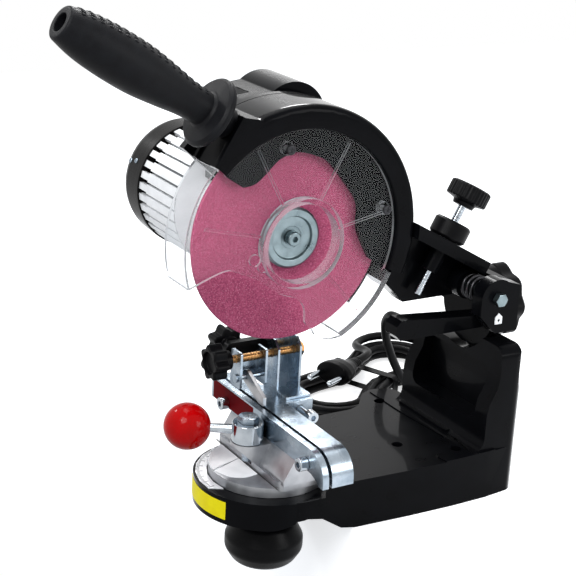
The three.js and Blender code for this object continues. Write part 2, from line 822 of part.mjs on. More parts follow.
function makeYoke(parent) {
  const at = [0, tiltZ];
  const disc = rod('y', yoke.discRadius, [yoke.front, yoke.back], at, roundSides);
  const across = [-yoke.lugX[1], yoke.lugX[1]];
  const wall = block(across, [yoke.front, yoke.back], [yoke.lugLow, yoke.lugTop]);
  const lug = new THREE.Shape();
  lug.moveTo(yoke.back, yoke.lugLow);
  lug.lineTo(yoke.back, yoke.lugTop);
  lug.lineTo(hingeY, hingeZ + yoke.lugRound);
  lug.absarc(hingeY, hingeZ, yoke.lugRound, Math.PI / 2, Math.PI, false);
  lug.lineTo(hingeY - yoke.lugRound, yoke.lugLow + yoke.lugRound);
  lug.lineTo(hingeY, yoke.lugLow);
  const lugs = [yoke.lugX, [-yoke.lugX[1], -yoke.lugX[0]]].map((span) => plate('x', lug, span));
  const tongue = new THREE.Shape();
  tongue.moveTo(yoke.front + overrun, yoke.tongueLow);
  tongue.lineTo(yoke.front + overrun, yoke.tongueBackTop);
  tongue.lineTo(yoke.tongueFront + yoke.tongueRound, yoke.tongueTop);
  tongue.lineTo(yoke.tongueFront, yoke.tongueTop - yoke.tongueRound);
  tongue.lineTo(yoke.tongueFront, yoke.tongueLow + yoke.tongueRound);
  tongue.lineTo(yoke.tongueFront + yoke.tongueRound, yoke.tongueLow);
  const casting = cut(
    join(disc, wall, ...lugs, plate('x', tongue, yoke.tongueX)),
    rod('x', yoke.bore, [-yoke.lugX[1] - overrun, yoke.lugX[1] + overrun], [hingeY, hingeZ]),
    rod('y', tiltStud.radius + seatGap, [tiltStud.inYoke - seatGap, yoke.back + overrun], at),
  );
  addTo(parent, 'tilt_yoke', casting, glossBlack);
}

function makeTiltStud(parent) {
  const stud = rod('y', tiltStud.radius, [tiltStud.inYoke, tiltStud.back], [0, tiltZ]);
  addTo(parent, 'tilt_stud', stud, zincPlate);
}

// Round hand nut behind the column, which locks the tilt
const tiltKnob = { radius: 28, front: 183.5, back: 198.5, edge: 3 };

function makeTiltKnob(parent) {
  const at = [0, tiltZ];
  const { radius, front, back, edge } = tiltKnob;
  const bore = tiltStud.radius + runGap;
  const floor = tiltStud.back + runGap;
  const knob = spun('y', [
    [bore, front], [radius - edge, front], [radius, front + edge], [radius, back - edge],
    [radius - edge, back], [0, back], [0, floor], [bore, floor], [bore, front],
  ], at);
  addTo(parent, 'tilt_lock_knob', knob, mouldedBlack);
}

function makeHingeBolt(parent) {
  const at = [hingeY, hingeZ];
  const headX = yoke.lugX[1] + seatGap;
  const nutX = -yoke.lugX[1] - seatGap;
  const shank = rod('x', hinge.boltRadius, [nutX - hinge.nutHeight, headX + hinge.headHeight / 2], at);
  const head = hexagon('x', hinge.headFlats, [headX, headX + hinge.headHeight], at);
  addTo(parent, 'hinge_bolt', join(shank, head), chromePlate);
  const nut = cut(
    hexagon('x', hinge.headFlats + overrun, [nutX - hinge.nutHeight, nutX], at),
    rod('x', hinge.boltRadius + seatGap, [nutX - hinge.nutHeight - overrun, nutX + overrun], at),
  );
  addTo(parent, 'hinge_nut', nut, zincPlate);
}

// Return spring on the hinge bolt, which lifts the head again
const spring = { mean: 8.5, wire: 3, turns: 4, steps: 8, sides: 6, leg: 8.5 };

function springPath() {
  const points = [];
  const x0 = hinge.barrelX[1] + seatGap + spring.wire / 2;
  const x1 = yoke.lugX[0] - seatGap - spring.wire / 2;
  const pitch = (x1 - x0) / spring.turns;
  const count = spring.turns * spring.steps;
  for (let i = 0; i <= count; i += 1) {
    const angle = (i / spring.steps) * 2 * Math.PI;
    const y = hingeY + spring.mean * Math.cos(angle);
    const z = hingeZ + spring.mean * Math.sin(angle);
    points.push(new THREE.Vector3(x0 + (i / spring.steps) * pitch, y, z));
  }
  const end = points[points.length - 1];
  points.push(new THREE.Vector3(end.x, end.y, end.z - spring.leg));
  return points;
}

function makeSpring(parent) {
  const path = springPath();
  addTo(parent, 'return_spring', tube(path, spring.wire / 2, spring.sides), bareSteel);
}

// A closed tube along a list of points, with a ring of corners at each
function tube(path, radius, sides) {
  const position = [];
  const index = [];
  const tangent = new THREE.Vector3();
  const normal = new THREE.Vector3();
  const side = new THREE.Vector3();
  path.forEach((point, i) => {
    const before = path[Math.max(i - 1, 0)];
    const after = path[Math.min(i + 1, path.length - 1)];
    tangent.subVectors(after, before).normalize();
    if (i === 0) {
      normal.set(Math.abs(tangent.z) > 1 / 2 ? 1 : 0, 0, Math.abs(tangent.z) > 1 / 2 ? 0 : 1);
    }
    normal.addScaledVector(tangent, -normal.dot(tangent)).normalize();
    side.crossVectors(tangent, normal);
    for (let j = 0; j < sides; j += 1) {
      const angle = (j / sides) * 2 * Math.PI;
      const corner = point.clone().addScaledVector(normal, radius * Math.cos(angle));
      position.push(...corner.addScaledVector(side, radius * Math.sin(angle)).toArray());
    }
  });
  for (let i = 0; i < path.length - 1; i += 1) {
    for (let j = 0; j < sides; j += 1) {
      const a = i * sides + j;
      const b = i * sides + ((j + 1) % sides);
      index.push(a, b, b + sides, a, b + sides, a + sides);
    }
  }
  const last = (path.length - 1) * sides;
  for (let j = 1; j < sides - 1; j += 1) {
    index.push(0, j + 1, j, last, last + j, last + j + 1);
  }
  const geometry = new THREE.BufferGeometry();
  geometry.setAttribute('position', new THREE.Float32BufferAttribute(position, 3));
  geometry.setIndex(index);
  return solid(geometry);
}

// Head: one casting with the arm, the hinge barrel and the motor's seat
const head = {
  plateX: [-26, -20],
  plateFrom: -44,
  plateTo: 139,
  seatRadius: 38,
  webX: [-12, 2],
  flangeX: [-15, 22],
  flangeThick: 9.4,
  armFoot: [130.9, 187],
  armFront: 46,
  armBack: 38.5,
  shaftHole: 9,
  webCorner: [104, 141],
  webAngle: -28,
};
const guard = {
  outer: 92,
  wall: 3,
  bandInner: 76,
  x: [-19.7, 18],
  faceX: [5, 8],
  from: -21,
  to: 139,
  endAngle: 3,
};
const depth = {
  rodRadius: 3,
  tip: 43.6,
  knobZ: [30.1, 42.1],
  knobRadius: 15,
  collarRadius: 13.5,
  collarHeight: 14,
  x: 10,
};

function makeHeadArm(parent) {
  const sector = bandAboutWheel(head.seatRadius - overrun, guard.outer, head.plateFrom, head.plateTo);
  const backPlate = join(
    plate('x', sector, head.plateX, drumSteps),
    rod('x', head.seatRadius, head.plateX, wheelAxis, roundSides),
  );
  const [footY, footZ] = head.armFoot;
  const along = [Math.cos(armSlope * degree), -Math.sin(armSlope * degree)];
  const down = [-Math.sin(armSlope * degree), -Math.cos(armSlope * degree)];
  const onArm = (u, v) => [footY + u * along[0] + v * down[0], footZ + u * along[1] + v * down[1]];
  const flange = polygon([
    onArm(-head.armFront, 0), onArm(head.armBack, 0),
    onArm(head.armBack, head.flangeThick), onArm(-head.armFront, head.flangeThick),
  ]);
  const low = aboutWheel(guard.outer - overrun, head.webAngle);
  const web = polygon([
    onArm(-head.armFront, head.flangeThick / 2), onArm(head.armBack, head.flangeThick / 2),
    [hingeY, hingeZ - hinge.barrelRadius], head.webCorner, [low.x, low.y],
  ]);
  const barrel = rod('x', hinge.barrelRadius, hinge.barrelX, [hingeY, hingeZ], roundSides);
  const arm = join(
    plate('x', flange, head.flangeX),
    plate('x', web, head.webX),
    plate('x', web, [head.plateX[0], head.webX[1]]).intersect(armRoot()),
    barrel,
  );
  const guardSpan = [head.plateX[1], head.flangeX[1] + overrun];
  const clearOfGuard = rod('x', guard.outer + seatGap, guardSpan, wheelAxis, fineSides);
  const through = [head.plateX[0] - overrun, head.plateX[1] + overrun];
  const barrelSpan = [hinge.barrelX[0] - overrun, hinge.barrelX[1] + overrun];
  const casting = cut(
    join(backPlate, cut(arm, clearOfGuard)),
    rod('x', head.shaftHole, through, wheelAxis),
    rod('x', hinge.boltRadius + runGap, barrelSpan, [hingeY, hingeZ]),
    slantedRod(depth.rodRadius + runGap, [-head.flangeThick - overrun, overrun]),
    ...guardBolt.angles.map((angle) => {
      const at = aboutWheel(guardBolt.at, angle);
      return rod('x', guardBolt.radius + seatGap, through, [at.x, at.y]);
    }),
  );
  addTo(parent, 'head_arm', casting, glossBlack);
}

// The thick root of the arm, where it runs into the back plate
function armRoot() {
  const reach = guard.outer + hinge.barrelRadius;
  return rod('x', reach, [head.plateX[0], head.webX[1]], wheelAxis, roundSides);
}

function slantedRod(radius, [from, to]) {
  const upright = rod('z', radius, [from, to]);
  return upright.rotate([-armSlope, 0, 0]).translate([depth.x, ...head.armFoot]);
}

// Screws that hold the guard to the head, from behind
const guardBolt = { at: 82, angles: [36, 112], radius: 2.5, head: 4.6, headHeight: 3, post: 5, deep: 8 };

function makeGuardBolts(parent) {
  guardBolt.angles.forEach((angle, i) => {
    const at = aboutWheel(guardBolt.at, angle);
    const headFront = head.plateX[0] - seatGap;
    const bolt = spun('x', [
      [0, headFront - guardBolt.headHeight], [guardBolt.head, headFront - guardBolt.headHeight],
      [guardBolt.head, headFront], [guardBolt.radius, headFront],
      [guardBolt.radius, guard.x[0] + guardBolt.deep], [0, guard.x[0] + guardBolt.deep],
    ], [at.x, at.y], smallSides);
    addTo(parent, `guard_screw_${i + 1}`, bolt, zincPlate);
  });
}

// Wheel guard: drum, raised front band and the face with its curved edge.
// The edge's radii are shares of the drum's outer radius, at angles from +Y.
const guardEdgeShares = [
  [-19, 0.7], [0, 0.545], [20, 0.565], [35, 0.555], [64, 0.598], [77, 0.62],
  [91, 0.641], [104, 0.62], [118, 0.565], [126, 0.555], [132, 0.577], [136, 0.61],
];

function makeGuard(parent) {
  const { outer, wall, bandInner, from, to } = guard;
  const stepX = [guard.faceX[0], guard.x[1]];
  const frontX = [guard.x[1] - wall, guard.x[1]];
  const drum = plate('x', bandAboutWheel(outer - wall, outer, from, to), guard.x, drumSteps);
  const band = plate('x', bandAboutWheel(bandInner, outer, from, to), frontX, drumSteps);
  const inner = plate('x', bandAboutWheel(bandInner, bandInner + wall, from, to), stepX, drumSteps);
  const edge = guardEdgeShares.map(([angle, share]) => aboutWheel(outer * share, angle));
  const face = new THREE.Shape();
  face.moveTo(edge[0].x, edge[0].y);
  face.splineThru(edge.slice(1));
  const start = aboutWheel(bandInner, to);
  face.lineTo(start.x, start.y);
  face.absarc(wheelY, wheelZ, bandInner + wall / 2, to * degree, from * degree, true);
  face.closePath();
  const frontEnd = plate('x', bandAboutWheel(bandInner, outer, to - guard.endAngle, to), stepX, 1);
  const rearEnd = plate('x', bandAboutWheel(bandInner, outer, from, from + guard.endAngle), stepX, 1);
  const posts = guardBolt.angles.map((angle) => {
    const at = aboutWheel(guardBolt.at, angle);
    return rod('x', guardBolt.post, [guard.x[0], guard.x[1] - wall / 2], [at.x, at.y]);
  });
  const holeSpan = [guard.x[0] - overrun, guard.x[0] + guardBolt.deep + seatGap];
  const holes = guardBolt.angles.map((angle) => {
    const at = aboutWheel(guardBolt.at, angle);
    return rod('x', guardBolt.radius + seatGap, holeSpan, [at.x, at.y]);
  });
  const whole = join(
    drum, band, inner, plate('x', face, guard.faceX, 3), frontEnd, rearEnd, ...posts, handleSeat(),
  );
  const shell = join(cut(whole, beyondSeat()), seatRibs());
  const faceSpan = [guard.faceX[0] - overrun, guard.faceX[1] + overrun];
  const screwHoles = coverScrew.places.map(([radius, angle]) => {
    const at = aboutWheel(radius, angle);
    return rod('x', coverScrew.radius + seatGap, faceSpan, [at.x, at.y]);
  });
  const handleHole = rod('z', handle.studRadius + seatGap, [-bracket.deep, overrun])
    .rotate([handleLean, 0, 0]).translate(handle.foot);
  addTo(parent, 'wheel_guard', cut(shell, ...holes, ...screwHoles, handleHole), glossBlack);
}

// Seat of the handle on the drum, square to the handle
const handleLean = 58.9;
const handle = {
  foot: [2, -43, 281],
  neckRadius: 10,
  neckEnd: 7.8,
  flangeRadius: 23.5,
  flangeEnd: 19.8,
  waist: 11.3,
  belly: 16.5,
  bellyAt: 84,
  tipRadius: 11,
  length: 132.5,
  endHole: 6,
  endHoleDeep: 18,
  studRadius: 4,
};
// How far along the swell and the tip the radius has got, as shares of both
const swellShares = [[0.25, 0.08], [0.5, 0.5], [0.78, 0.9]];
const tipShares = [[0.35, 0.08], [0.7, 0.4]];
const bracket = { x: [-14, 18], up: 8, down: 28.4, deep: 11, ribs: 4, ribHeight: 2, angles: [111, 124, 137] };

// A point beside the handle's axis: up is across it, out is along it
function besideHandle(up, out) {
  const lean = handleLean * degree;
  return [
    handle.foot[1] + up * Math.cos(lean) - out * Math.sin(lean),
    handle.foot[2] + up * Math.sin(lean) + out * Math.cos(lean),
  ];
}

function handleSeat() {
  const [high, middle, low] = bracket.angles;
  const seat = polygon([
    besideHandle(bracket.up, 0),
    aboutWheel(guard.outer - guard.wall / 2, high).toArray(),
    aboutWheel(guard.bandInner + guard.wall, middle).toArray(),
    aboutWheel(guard.bandInner + guard.wall, low).toArray(),
    besideHandle(-bracket.down, 0),
  ]);
  return plate('x', seat, bracket.x);
}

// What the flat of the seat takes off the drum
function beyondSeat() {
  const reach = guard.outer;
  const beyond = polygon([
    besideHandle(-reach, 0), besideHandle(bracket.up + reach, 0),
    besideHandle(bracket.up + reach, reach), besideHandle(-reach, reach),
  ]);
  return plate('x', beyond, [guard.x[0] - overrun, guard.x[1] + overrun]);
}

function seatRibs() {
  const rib = polygon([
    besideHandle(bracket.up, -overrun), besideHandle(bracket.up, bracket.ribHeight),
    besideHandle(-bracket.down, bracket.ribHeight), besideHandle(-bracket.down, -overrun),
  ]);
  const [left, right] = bracket.x;
  return join(plate('x', rib, [left, left + bracket.ribs]), plate('x', rib, [right - bracket.ribs, right]));
}

function makeHandle(parent) {
  const holder = groupAt(parent, ...handle.foot);
  holder.rotation.x = handleLean * degree;
  const { neckRadius, neckEnd, flangeRadius, flangeEnd, waist, belly, bellyAt, tipRadius, length } = handle;
  const holeFloor = length - handle.endHoleDeep;
  const swell = swellShares.map(([along, share]) => [
    waist + (belly - waist) * share, flangeEnd + (bellyAt - flangeEnd) * along,
  ]);
  const narrowing = tipShares.map(([along, share]) => [
    belly - (belly - tipRadius) * share, bellyAt + (length - bellyAt) * along,
  ]);
  const grip = spun('z', [
    [0, seatGap - bracket.deep], [handle.studRadius, seatGap - bracket.deep], [handle.studRadius, seatGap],
    [neckRadius, seatGap], [neckRadius, neckEnd],
    [flangeRadius - 2 * seatGap - overrun, neckEnd], [flangeRadius, neckEnd + overrun],
    [flangeRadius, flangeEnd - 2 * overrun], [waist + 2 * overrun, flangeEnd], [waist, flangeEnd + overrun],
    ...swell, [belly, bellyAt], ...narrowing,
    [tipRadius, length - overrun], [tipRadius - overrun, length],
    [handle.endHole, length], [handle.endHole, holeFloor], [0, holeFloor],
  ], [0, 0], knobSides);
  addTo(holder, 'handle_grip', grip, rubberBlack);
}

// Clear cover: face, rim round the open side, collar, screw posts and ribs.
// The lower edge's radii are shares of the drum's outer radius, at angles.
const coverEdgeShares = [
  [294, 0.871], [290, 0.842], [284.4, 0.78], [282.4, 0.708], [278.4, 0.642], [278.6, 0.53],
  [272, 0.44], [248, 0.405], [220, 0.405], [200, 0.516], [194.4, 0.625], [196, 0.9],
];
const cover = {
  faceX: [12, 15],
  rimX: [-14, 15],
  rimOuter: 84.5,
  rimTo: 196,
  lobeOuter: 82,
  lobeFrom: -22.5,
  lobeTo: -62,
  wall: 2.5,
  collarOuter: 31,
  collarInner: 27,
  collarFront: 22,
  ribHeight: 1.2,
  ribWidth: 1.5,
  ribAngles: [167, 141, 118, 62, 12, -22, -48],
  stubs: [[35, 194], [30.5, 206]],
  stubRadius: 4,
  stubFront: 18,
};
const coverScrew = {
  places: [[64, 99.6], [69.5, 12.6]],
  radius: 1.6,
  post: 4.5,
  head: 3.4,
  headHeight: 2,
};

function makeCover(parent) {
  const inner = guard.bandInner - 2 * seatGap;
  const clearAngle = (2 * seatGap) / guard.outer / degree;
  const fromGuard = guard.to + clearAngle;
  const toGuard = guard.from - clearAngle;
  const outline = new THREE.Shape();
  outline.absarc(wheelY, wheelZ, inner, fromGuard * degree, toGuard * degree, true);
  outline.absarc(wheelY, wheelZ, cover.lobeOuter, cover.lobeFrom * degree, cover.lobeTo * degree, true);
  outline.splineThru(coverEdgeShares.map(([angle, share]) => aboutWheel(guard.outer * share, angle)));
  outline.absarc(wheelY, wheelZ, cover.rimOuter, cover.rimTo * degree, fromGuard * degree, true);
  outline.closePath();
  const face = plate('x', outline, cover.faceX, 5);
  const { rimOuter, lobeOuter, wall } = cover;
  const rim = bandAboutWheel(rimOuter - wall, rimOuter, fromGuard, cover.rimTo);
  const lobeRim = bandAboutWheel(lobeOuter - wall, lobeOuter, cover.lobeTo, cover.lobeFrom);
  const collarSpan = [cover.faceX[0], cover.collarFront];
  const collar = rod('x', cover.collarOuter, collarSpan, wheelAxis, roundSides);
  const posts = coverScrew.places.map(([radius, angle]) => {
    const at = aboutWheel(radius, angle);
    return rod('x', coverScrew.post, [guard.faceX[1] + seatGap, cover.faceX[1]], [at.x, at.y]);
  });
  const stubs = cover.stubs.map(([radius, angle]) => {
    const at = aboutWheel(radius, angle);
    return rod('x', cover.stubRadius, [cover.faceX[0], cover.stubFront], [at.x, at.y]);
  });
  const ribs = cover.ribAngles.map((angle) => {
    const half = cover.ribWidth / 2;
    const bar = block(
      [cover.faceX[1] - cover.ribHeight / 2, cover.faceX[1] + cover.ribHeight],
      [cover.collarOuter - half, guard.bandInner - wall], [-half, half],
    );
    return bar.rotate([angle, 0, 0]).translate([0, ...wheelAxis]);
  });
  const holes = coverScrew.places.map(([radius, angle]) => {
    const at = aboutWheel(radius, angle);
    const shank = rod('x', coverScrew.radius + seatGap, [guard.faceX[0], cover.stubFront], [at.x, at.y]);
    const seat = rod('x', coverScrew.head + seatGap, [cover.faceX[1], cover.stubFront], [at.x, at.y]);
    return join(shank, seat);
  });
  const rims = [rim, lobeRim].map((band) => plate('x', band, cover.rimX, 5));
  const shell = join(face, ...rims, collar, ...posts, ...stubs, ...ribs);
  const mouthSpan = [guard.faceX[1], cover.collarFront + overrun];
  const mouth = rod('x', cover.collarInner, mouthSpan, wheelAxis, roundSides);
  addTo(parent, 'clear_cover', cut(shell, mouth, ...holes), clearPlastic);
  coverScrew.places.forEach(([radius, angle], i) => {
    const at = aboutWheel(radius, angle);
    const under = cover.faceX[1] + seatGap;
    const screw = spun('x', [
      [0, guard.faceX[0]], [coverScrew.radius, guard.faceX[0]], [coverScrew.radius, under],
      [coverScrew.head, under], [coverScrew.head, under + coverScrew.headHeight],
      [0, under + coverScrew.headHeight],
    ], [at.x, at.y], smallSides);
    addTo(parent, `cover_screw_${i + 1}`, screw, bareSteel);
  });
}

// Motor: front bell, ribbed housing, rear ring and end cap, with what is in them
const housingRadius = 45.5;
const housingWall = 6;
const housingBore = housingRadius - housingWall;
const windingRoom = 3.5;
const stackDeep = 15.7;
const fanRoom = 2.5;
const ringProud = 1.2;
const capProud = 0.5;
const capShoulder = 10;
const motor = {
  bellFront: -26.3,
  bellRadius: 32,
  bellFlare: -68,
  bellWall: 5,
  housingX: [-134.5, -76],
  housingRadius,
  housingBore,
  ribs: 20,
  groove: 2.4,
  grooveDeep: 2.6,
  slotWidth: 4,
  slotLength: 12,
  ringX: -139,
  ringRadius: housingRadius + ringProud,
  capX: -165,
  capRadius: housingRadius + capProud,
  capRim: housingRadius + capProud - capShoulder,
  capEdge: 3,
  capWall: 3.5,
  stackX: [-112, -86],
  airGap: 0.6,
  rotorRadius: housingBore - stackDeep,
  windingRadius: housingBore - windingRoom,
  windingOut: 8,
  fanX: [-132, -124],
  fanRadius: housingBore - fanRoom,
  fanHub: 12,
  fanBlades: 8,
};
const bearing = { outer: 14, width: 10, seat: 18, lip: 8.5 };

function makeBell(parent) {
  const { bellFront, bellRadius, bellFlare, bellWall, housingX, housingRadius, housingBore } = motor;
  const floor = bellFront - bellWall;
  const seatEnd = bellFront - bellWall / 2 - bearing.width;
  const inside = bellRadius - bellWall;
  const bell = ring('x', [
    [bearing.lip, bellFront], [bellRadius, bellFront], [bellRadius, bellFlare], [housingRadius, housingX[1]],
    [housingBore, housingX[1]], [inside, bellFlare], [inside, floor], [bearing.seat, floor],
    [bearing.seat, seatEnd], [bearing.outer + seatGap, seatEnd],
    [bearing.outer + seatGap, bellFront - bellWall / 2], [bearing.lip, bellFront - bellWall / 2],
  ], wheelAxis);
  addTo(parent, 'motor_bell', bell, silverAlloy);
}

function makeHousing(parent) {
  const { housingX, housingRadius, housingBore, ribs, groove, grooveDeep } = motor;
  const outline = new THREE.Shape();
  const pitch = (2 * Math.PI) / ribs;
  const half = groove / 2 / housingRadius;
  for (let i = 0; i < ribs; i += 1) {
    const start = i * pitch + half;
    const end = (i + 1) * pitch - half;
    outline.absarc(wheelY, wheelZ, housingRadius, start, end, false);
    outline.absarc(wheelY, wheelZ, housingRadius - grooveDeep, end, end + 2 * half, false);
  }
  outline.closePath();
  const back = housingX[0];
  const front = housingX[1] - seatGap;
  const bore = rod('x', housingBore, [back - overrun, front + overrun], wheelAxis, roundSides);
  const body = cut(plate('x', outline, [back, front], 1), bore);
  const slot = block(
    [back - overrun, back + motor.slotLength],
    [housingBore - overrun, housingRadius + overrun], [-motor.slotWidth / 2, motor.slotWidth / 2],
  );
  addTo(parent, 'motor_housing', cut(body, ...aroundWheel(slot, ribs)), silverAlloy);
}

// A shape drawn out from the X axis, set round the wheel's axis so many times
function aroundWheel(shape, count) {
  const turns = Array.from({ length: count }, (_, i) => (i * 360) / count);
  return turns.map((turn) => shape.rotate([turn, 0, 0]).translate([0, ...wheelAxis]));
}

function makeRearEnd(parent) {
  const { housingX, ringX, ringRadius, capX, capRadius, capRim, capWall } = motor;
  const face = housingX[0] - seatGap;
  const drop = capRadius - capRim;
  const floor = capX + capWall;
  const seatBack = floor + overrun;
  const seatEnd = seatBack + bearing.width;
  const inner = capRadius - capWall;
  const cap = spun('x', [
    [0, capX], [capRim, capX], [capRadius - motor.capEdge, capX + motor.capEdge],
    [capRadius, capX + drop], [capRadius, ringX], [ringRadius, ringX], [ringRadius, face],
    [inner, face], [inner, capX + drop], [capRim - capWall / 2, floor],
    [bearing.seat, floor], [bearing.seat, seatEnd], [bearing.outer + seatGap, seatEnd],
    [bearing.outer + seatGap, seatBack], [0, seatBack],
  ], wheelAxis);
  addTo(parent, 'motor_end_cap', cap, glossBlack);
}

function makeBearing(parent, name, x) {
  const shell = ring('x', [
    [shaftRadius + seatGap, x], [bearing.outer, x], [bearing.outer, x + bearing.width],
    [shaftRadius + seatGap, x + bearing.width],
  ], wheelAxis, hiddenSides);
  addTo(parent, name, shell, bareSteel);
}

function makeStator(parent) {
  const [back, front] = motor.stackX;
  const bore = motor.rotorRadius + motor.airGap;
  const outer = motor.housingBore * Math.cos(Math.PI / roundSides) - seatGap;
  const radius = motor.windingRadius;
  const windingX = [back - motor.windingOut, front + motor.windingOut];
  const stack = ring('x', [
    [bore, back], [bore + overrun, windingX[0]], [radius, windingX[0]],
    [radius, back], [outer, back], [outer, front],
    [radius, front], [radius, windingX[1]], [bore + overrun, windingX[1]], [bore, front],
  ], wheelAxis, hiddenSides);
  addTo(parent, 'stator', stack, bareSteel);
}

// Everything that turns with the wheel
const spindle = {
  shaftFront: 1.2,
  flangeRadius: 21,
  innerBack: -8,
  hubFront: 1.2,
  outerThick: 5,
  recessRadius: 14.5,
  recessSlope: 0.5,
  recessDeep: 2.4,
  screwRadius: 3,
  screwDeep: 14,
  screwHead: 5,
  screwFront: 10,
};

function makeSpindle(parent) {
  const bore = shaftRadius + seatGap;
  const wheel = ring('x', [
    [wheelBore, -wheelFace], [wheelRadius, -wheelFace], [wheelRadius, wheelFace], [wheelBore, wheelFace],
  ], wheelAxis, fineSides);
  addTo(parent, 'grinding_wheel', wheel, pinkGrit);
  const seat = -wheelFace - seatGap;
  const inner = ring('x', [
    [bore, spindle.innerBack], [spindle.flangeRadius, spindle.innerBack], [spindle.flangeRadius, seat],
    [wheelBore - seatGap, seat], [wheelBore - seatGap, spindle.hubFront], [bore, spindle.hubFront],
  ], wheelAxis, knobSides);
  addTo(parent, 'inner_flange', inner, zincPlate);
  const face = wheelFace + seatGap;
  const front = face + spindle.outerThick;
  const hole = spindle.screwRadius + seatGap;
  const floor = front - spindle.recessDeep;
  const edge = spindle.recessDeep / 2;
  const outer = ring('x', [
    [hole, face], [spindle.flangeRadius, face], [spindle.flangeRadius, front - edge],
    [spindle.flangeRadius - edge, front], [spindle.recessRadius + spindle.recessSlope, front],
    [spindle.recessRadius, floor], [hole, floor],
  ], wheelAxis);
  addTo(parent, 'outer_flange', outer, zincPlate);
  const screwBack = spindle.shaftFront - spindle.screwDeep;
  const screw = spun('x', [
    [0, screwBack], [spindle.screwRadius, screwBack],
    [spindle.screwRadius, floor + seatGap], [spindle.screwHead, floor + seatGap],
    [spindle.screwHead, spindle.screwFront], [0, spindle.screwFront],
  ], wheelAxis, smallSides);
  addTo(parent, 'spindle_screw', screw, chromePlate);
  const shaftBack = motor.capX + motor.capWall + overrun + bearing.width / 2;
  const shaft = cut(
    rod('x', shaftRadius, [shaftBack, spindle.shaftFront], wheelAxis, roundSides),
    rod('x', hole, [screwBack - seatGap, spindle.shaftFront + overrun], wheelAxis),
  );
  addTo(parent, 'motor_shaft', shaft, bareSteel);
  const rotor = ring('x', [
    [bore, motor.stackX[0]], [motor.rotorRadius, motor.stackX[0]],
    [motor.rotorRadius, motor.stackX[1]], [bore, motor.stackX[1]],
  ], wheelAxis, hiddenSides);
  addTo(parent, 'rotor', rotor, bareSteel);
  const [fanBack, fanFront] = motor.fanX;
  const disc = ring('x', [
    [bore, fanBack], [motor.fanHub, fanBack], [motor.fanHub, fanFront - overrun],
    [motor.fanRadius, fanFront - overrun], [motor.fanRadius, fanFront], [bore, fanFront],
  ], wheelAxis, knobSides);
  const reach = [motor.fanHub - overrun, motor.fanRadius - overrun];
  const blade = block([fanBack, fanFront - overrun / 2], reach, [0, overrun]);
  addTo(parent, 'cooling_fan', join(disc, ...aroundWheel(blade, motor.fanBlades)), mouldedBlack);
}

// Switch box on the motor's back, seen over the guard
const box = {
  x: [-78, -33],
  domeY: 26,
  domeZ: 271,
  domeRadius: 26,
  domeTo: 130,
  shoulderY: -20,
  shoulderZ: 288,
  low: 226,
  slope: 6,
};
const rocker = { y: -9, x: [-62, -44], z: 286, radius: 6.6, lift: 3, dip: 1.2, throw: 12 };

function makeSwitchBox(parent) {
  const outline = new THREE.Shape();
  outline.moveTo(box.shoulderY, box.low);
  outline.lineTo(box.domeY + box.domeRadius - box.slope, box.low);
  outline.lineTo(box.domeY + box.domeRadius, box.domeZ);
  outline.absarc(box.domeY, box.domeZ, box.domeRadius, 0, box.domeTo * degree, false);
  outline.lineTo(box.shoulderY + box.slope, box.shoulderZ);
  outline.lineTo(box.shoulderY, box.shoulderZ - box.slope);
  const room = rocker.radius + runGap;
  const across = [rocker.x[0] - runGap, rocker.x[1] + runGap];
  const saddle = [box.x[0] - overrun, motor.bellFlare + seatGap];
  const neckSpan = [motor.bellFlare, box.x[1] + overrun];
  const body = cut(
    plate('x', outline, box.x, 6),
    rod('x', motor.housingRadius + seatGap, saddle, wheelAxis, fineSides),
    rod('x', motor.bellRadius + seatGap, neckSpan, wheelAxis, fineSides),
    rod('x', room, across, [rocker.y, rocker.z], roundSides),
    block(across, [rocker.y - room, rocker.y + room], [rocker.z, box.shoulderZ + overrun]),
  );
  addTo(parent, 'switch_box', body, mouldedBlack);
  const key = new THREE.Shape();
  const rest = (rocker.throw / 2) * degree;
  const side = Math.asin(rocker.lift / rocker.radius);
  key.absarc(rocker.y, rocker.z, rocker.radius, Math.PI - side + rest, 2 * Math.PI + side + rest, false);
  key.lineTo(rocker.y - rocker.dip * Math.sin(rest), rocker.z + rocker.dip);
  key.closePath();
  addTo(parent, 'rocker_switch', plate('x', key, rocker.x, 6), mouldedBlack);
}

// Depth stop: knob and screw in the arm, and the collar that locks them
function makeDepthStop(parent) {
  const holder = groupAt(parent, depth.x, ...head.armFoot);
  holder.rotation.x = -armSlope * degree;
  const [knobLow, knobTop] = depth.knobZ;
  const step = (knobTop - knobLow) / 3;
  const screw = rod('z', depth.rodRadius, [-depth.tip, knobTop - step]);
  addTo(holder, 'depth_screw', screw, chromePlate);
  const bore = depth.rodRadius + runGap;
  const knob = spun('z', [
    [bore, knobLow - step], [depth.knobRadius / 2, knobLow - step], [depth.knobRadius - step, knobLow],
    [depth.knobRadius, knobLow + step / 2], [depth.knobRadius, knobTop - step / 2],
    [depth.knobRadius - step / 2, knobTop], [0, knobTop], [0, knobTop - step + runGap],
    [bore, knobTop - step + runGap], [bore, knobLow - step],
  ], [0, 0], knobSides);
  addTo(holder, 'depth_knob', knob, mouldedBlack);
  const lip = depth.collarHeight / 4;
  const collar = ring('z', [
    [bore, seatGap], [depth.collarRadius - lip, seatGap], [depth.collarRadius, seatGap + lip],
    [depth.collarRadius, depth.collarHeight - lip], [depth.collarRadius - lip, depth.collarHeight],
    [bore, depth.collarHeight],
  ], [0, 0], knobSides);
  addTo(holder, 'depth_lock_collar', collar, mouldedBlack);
}

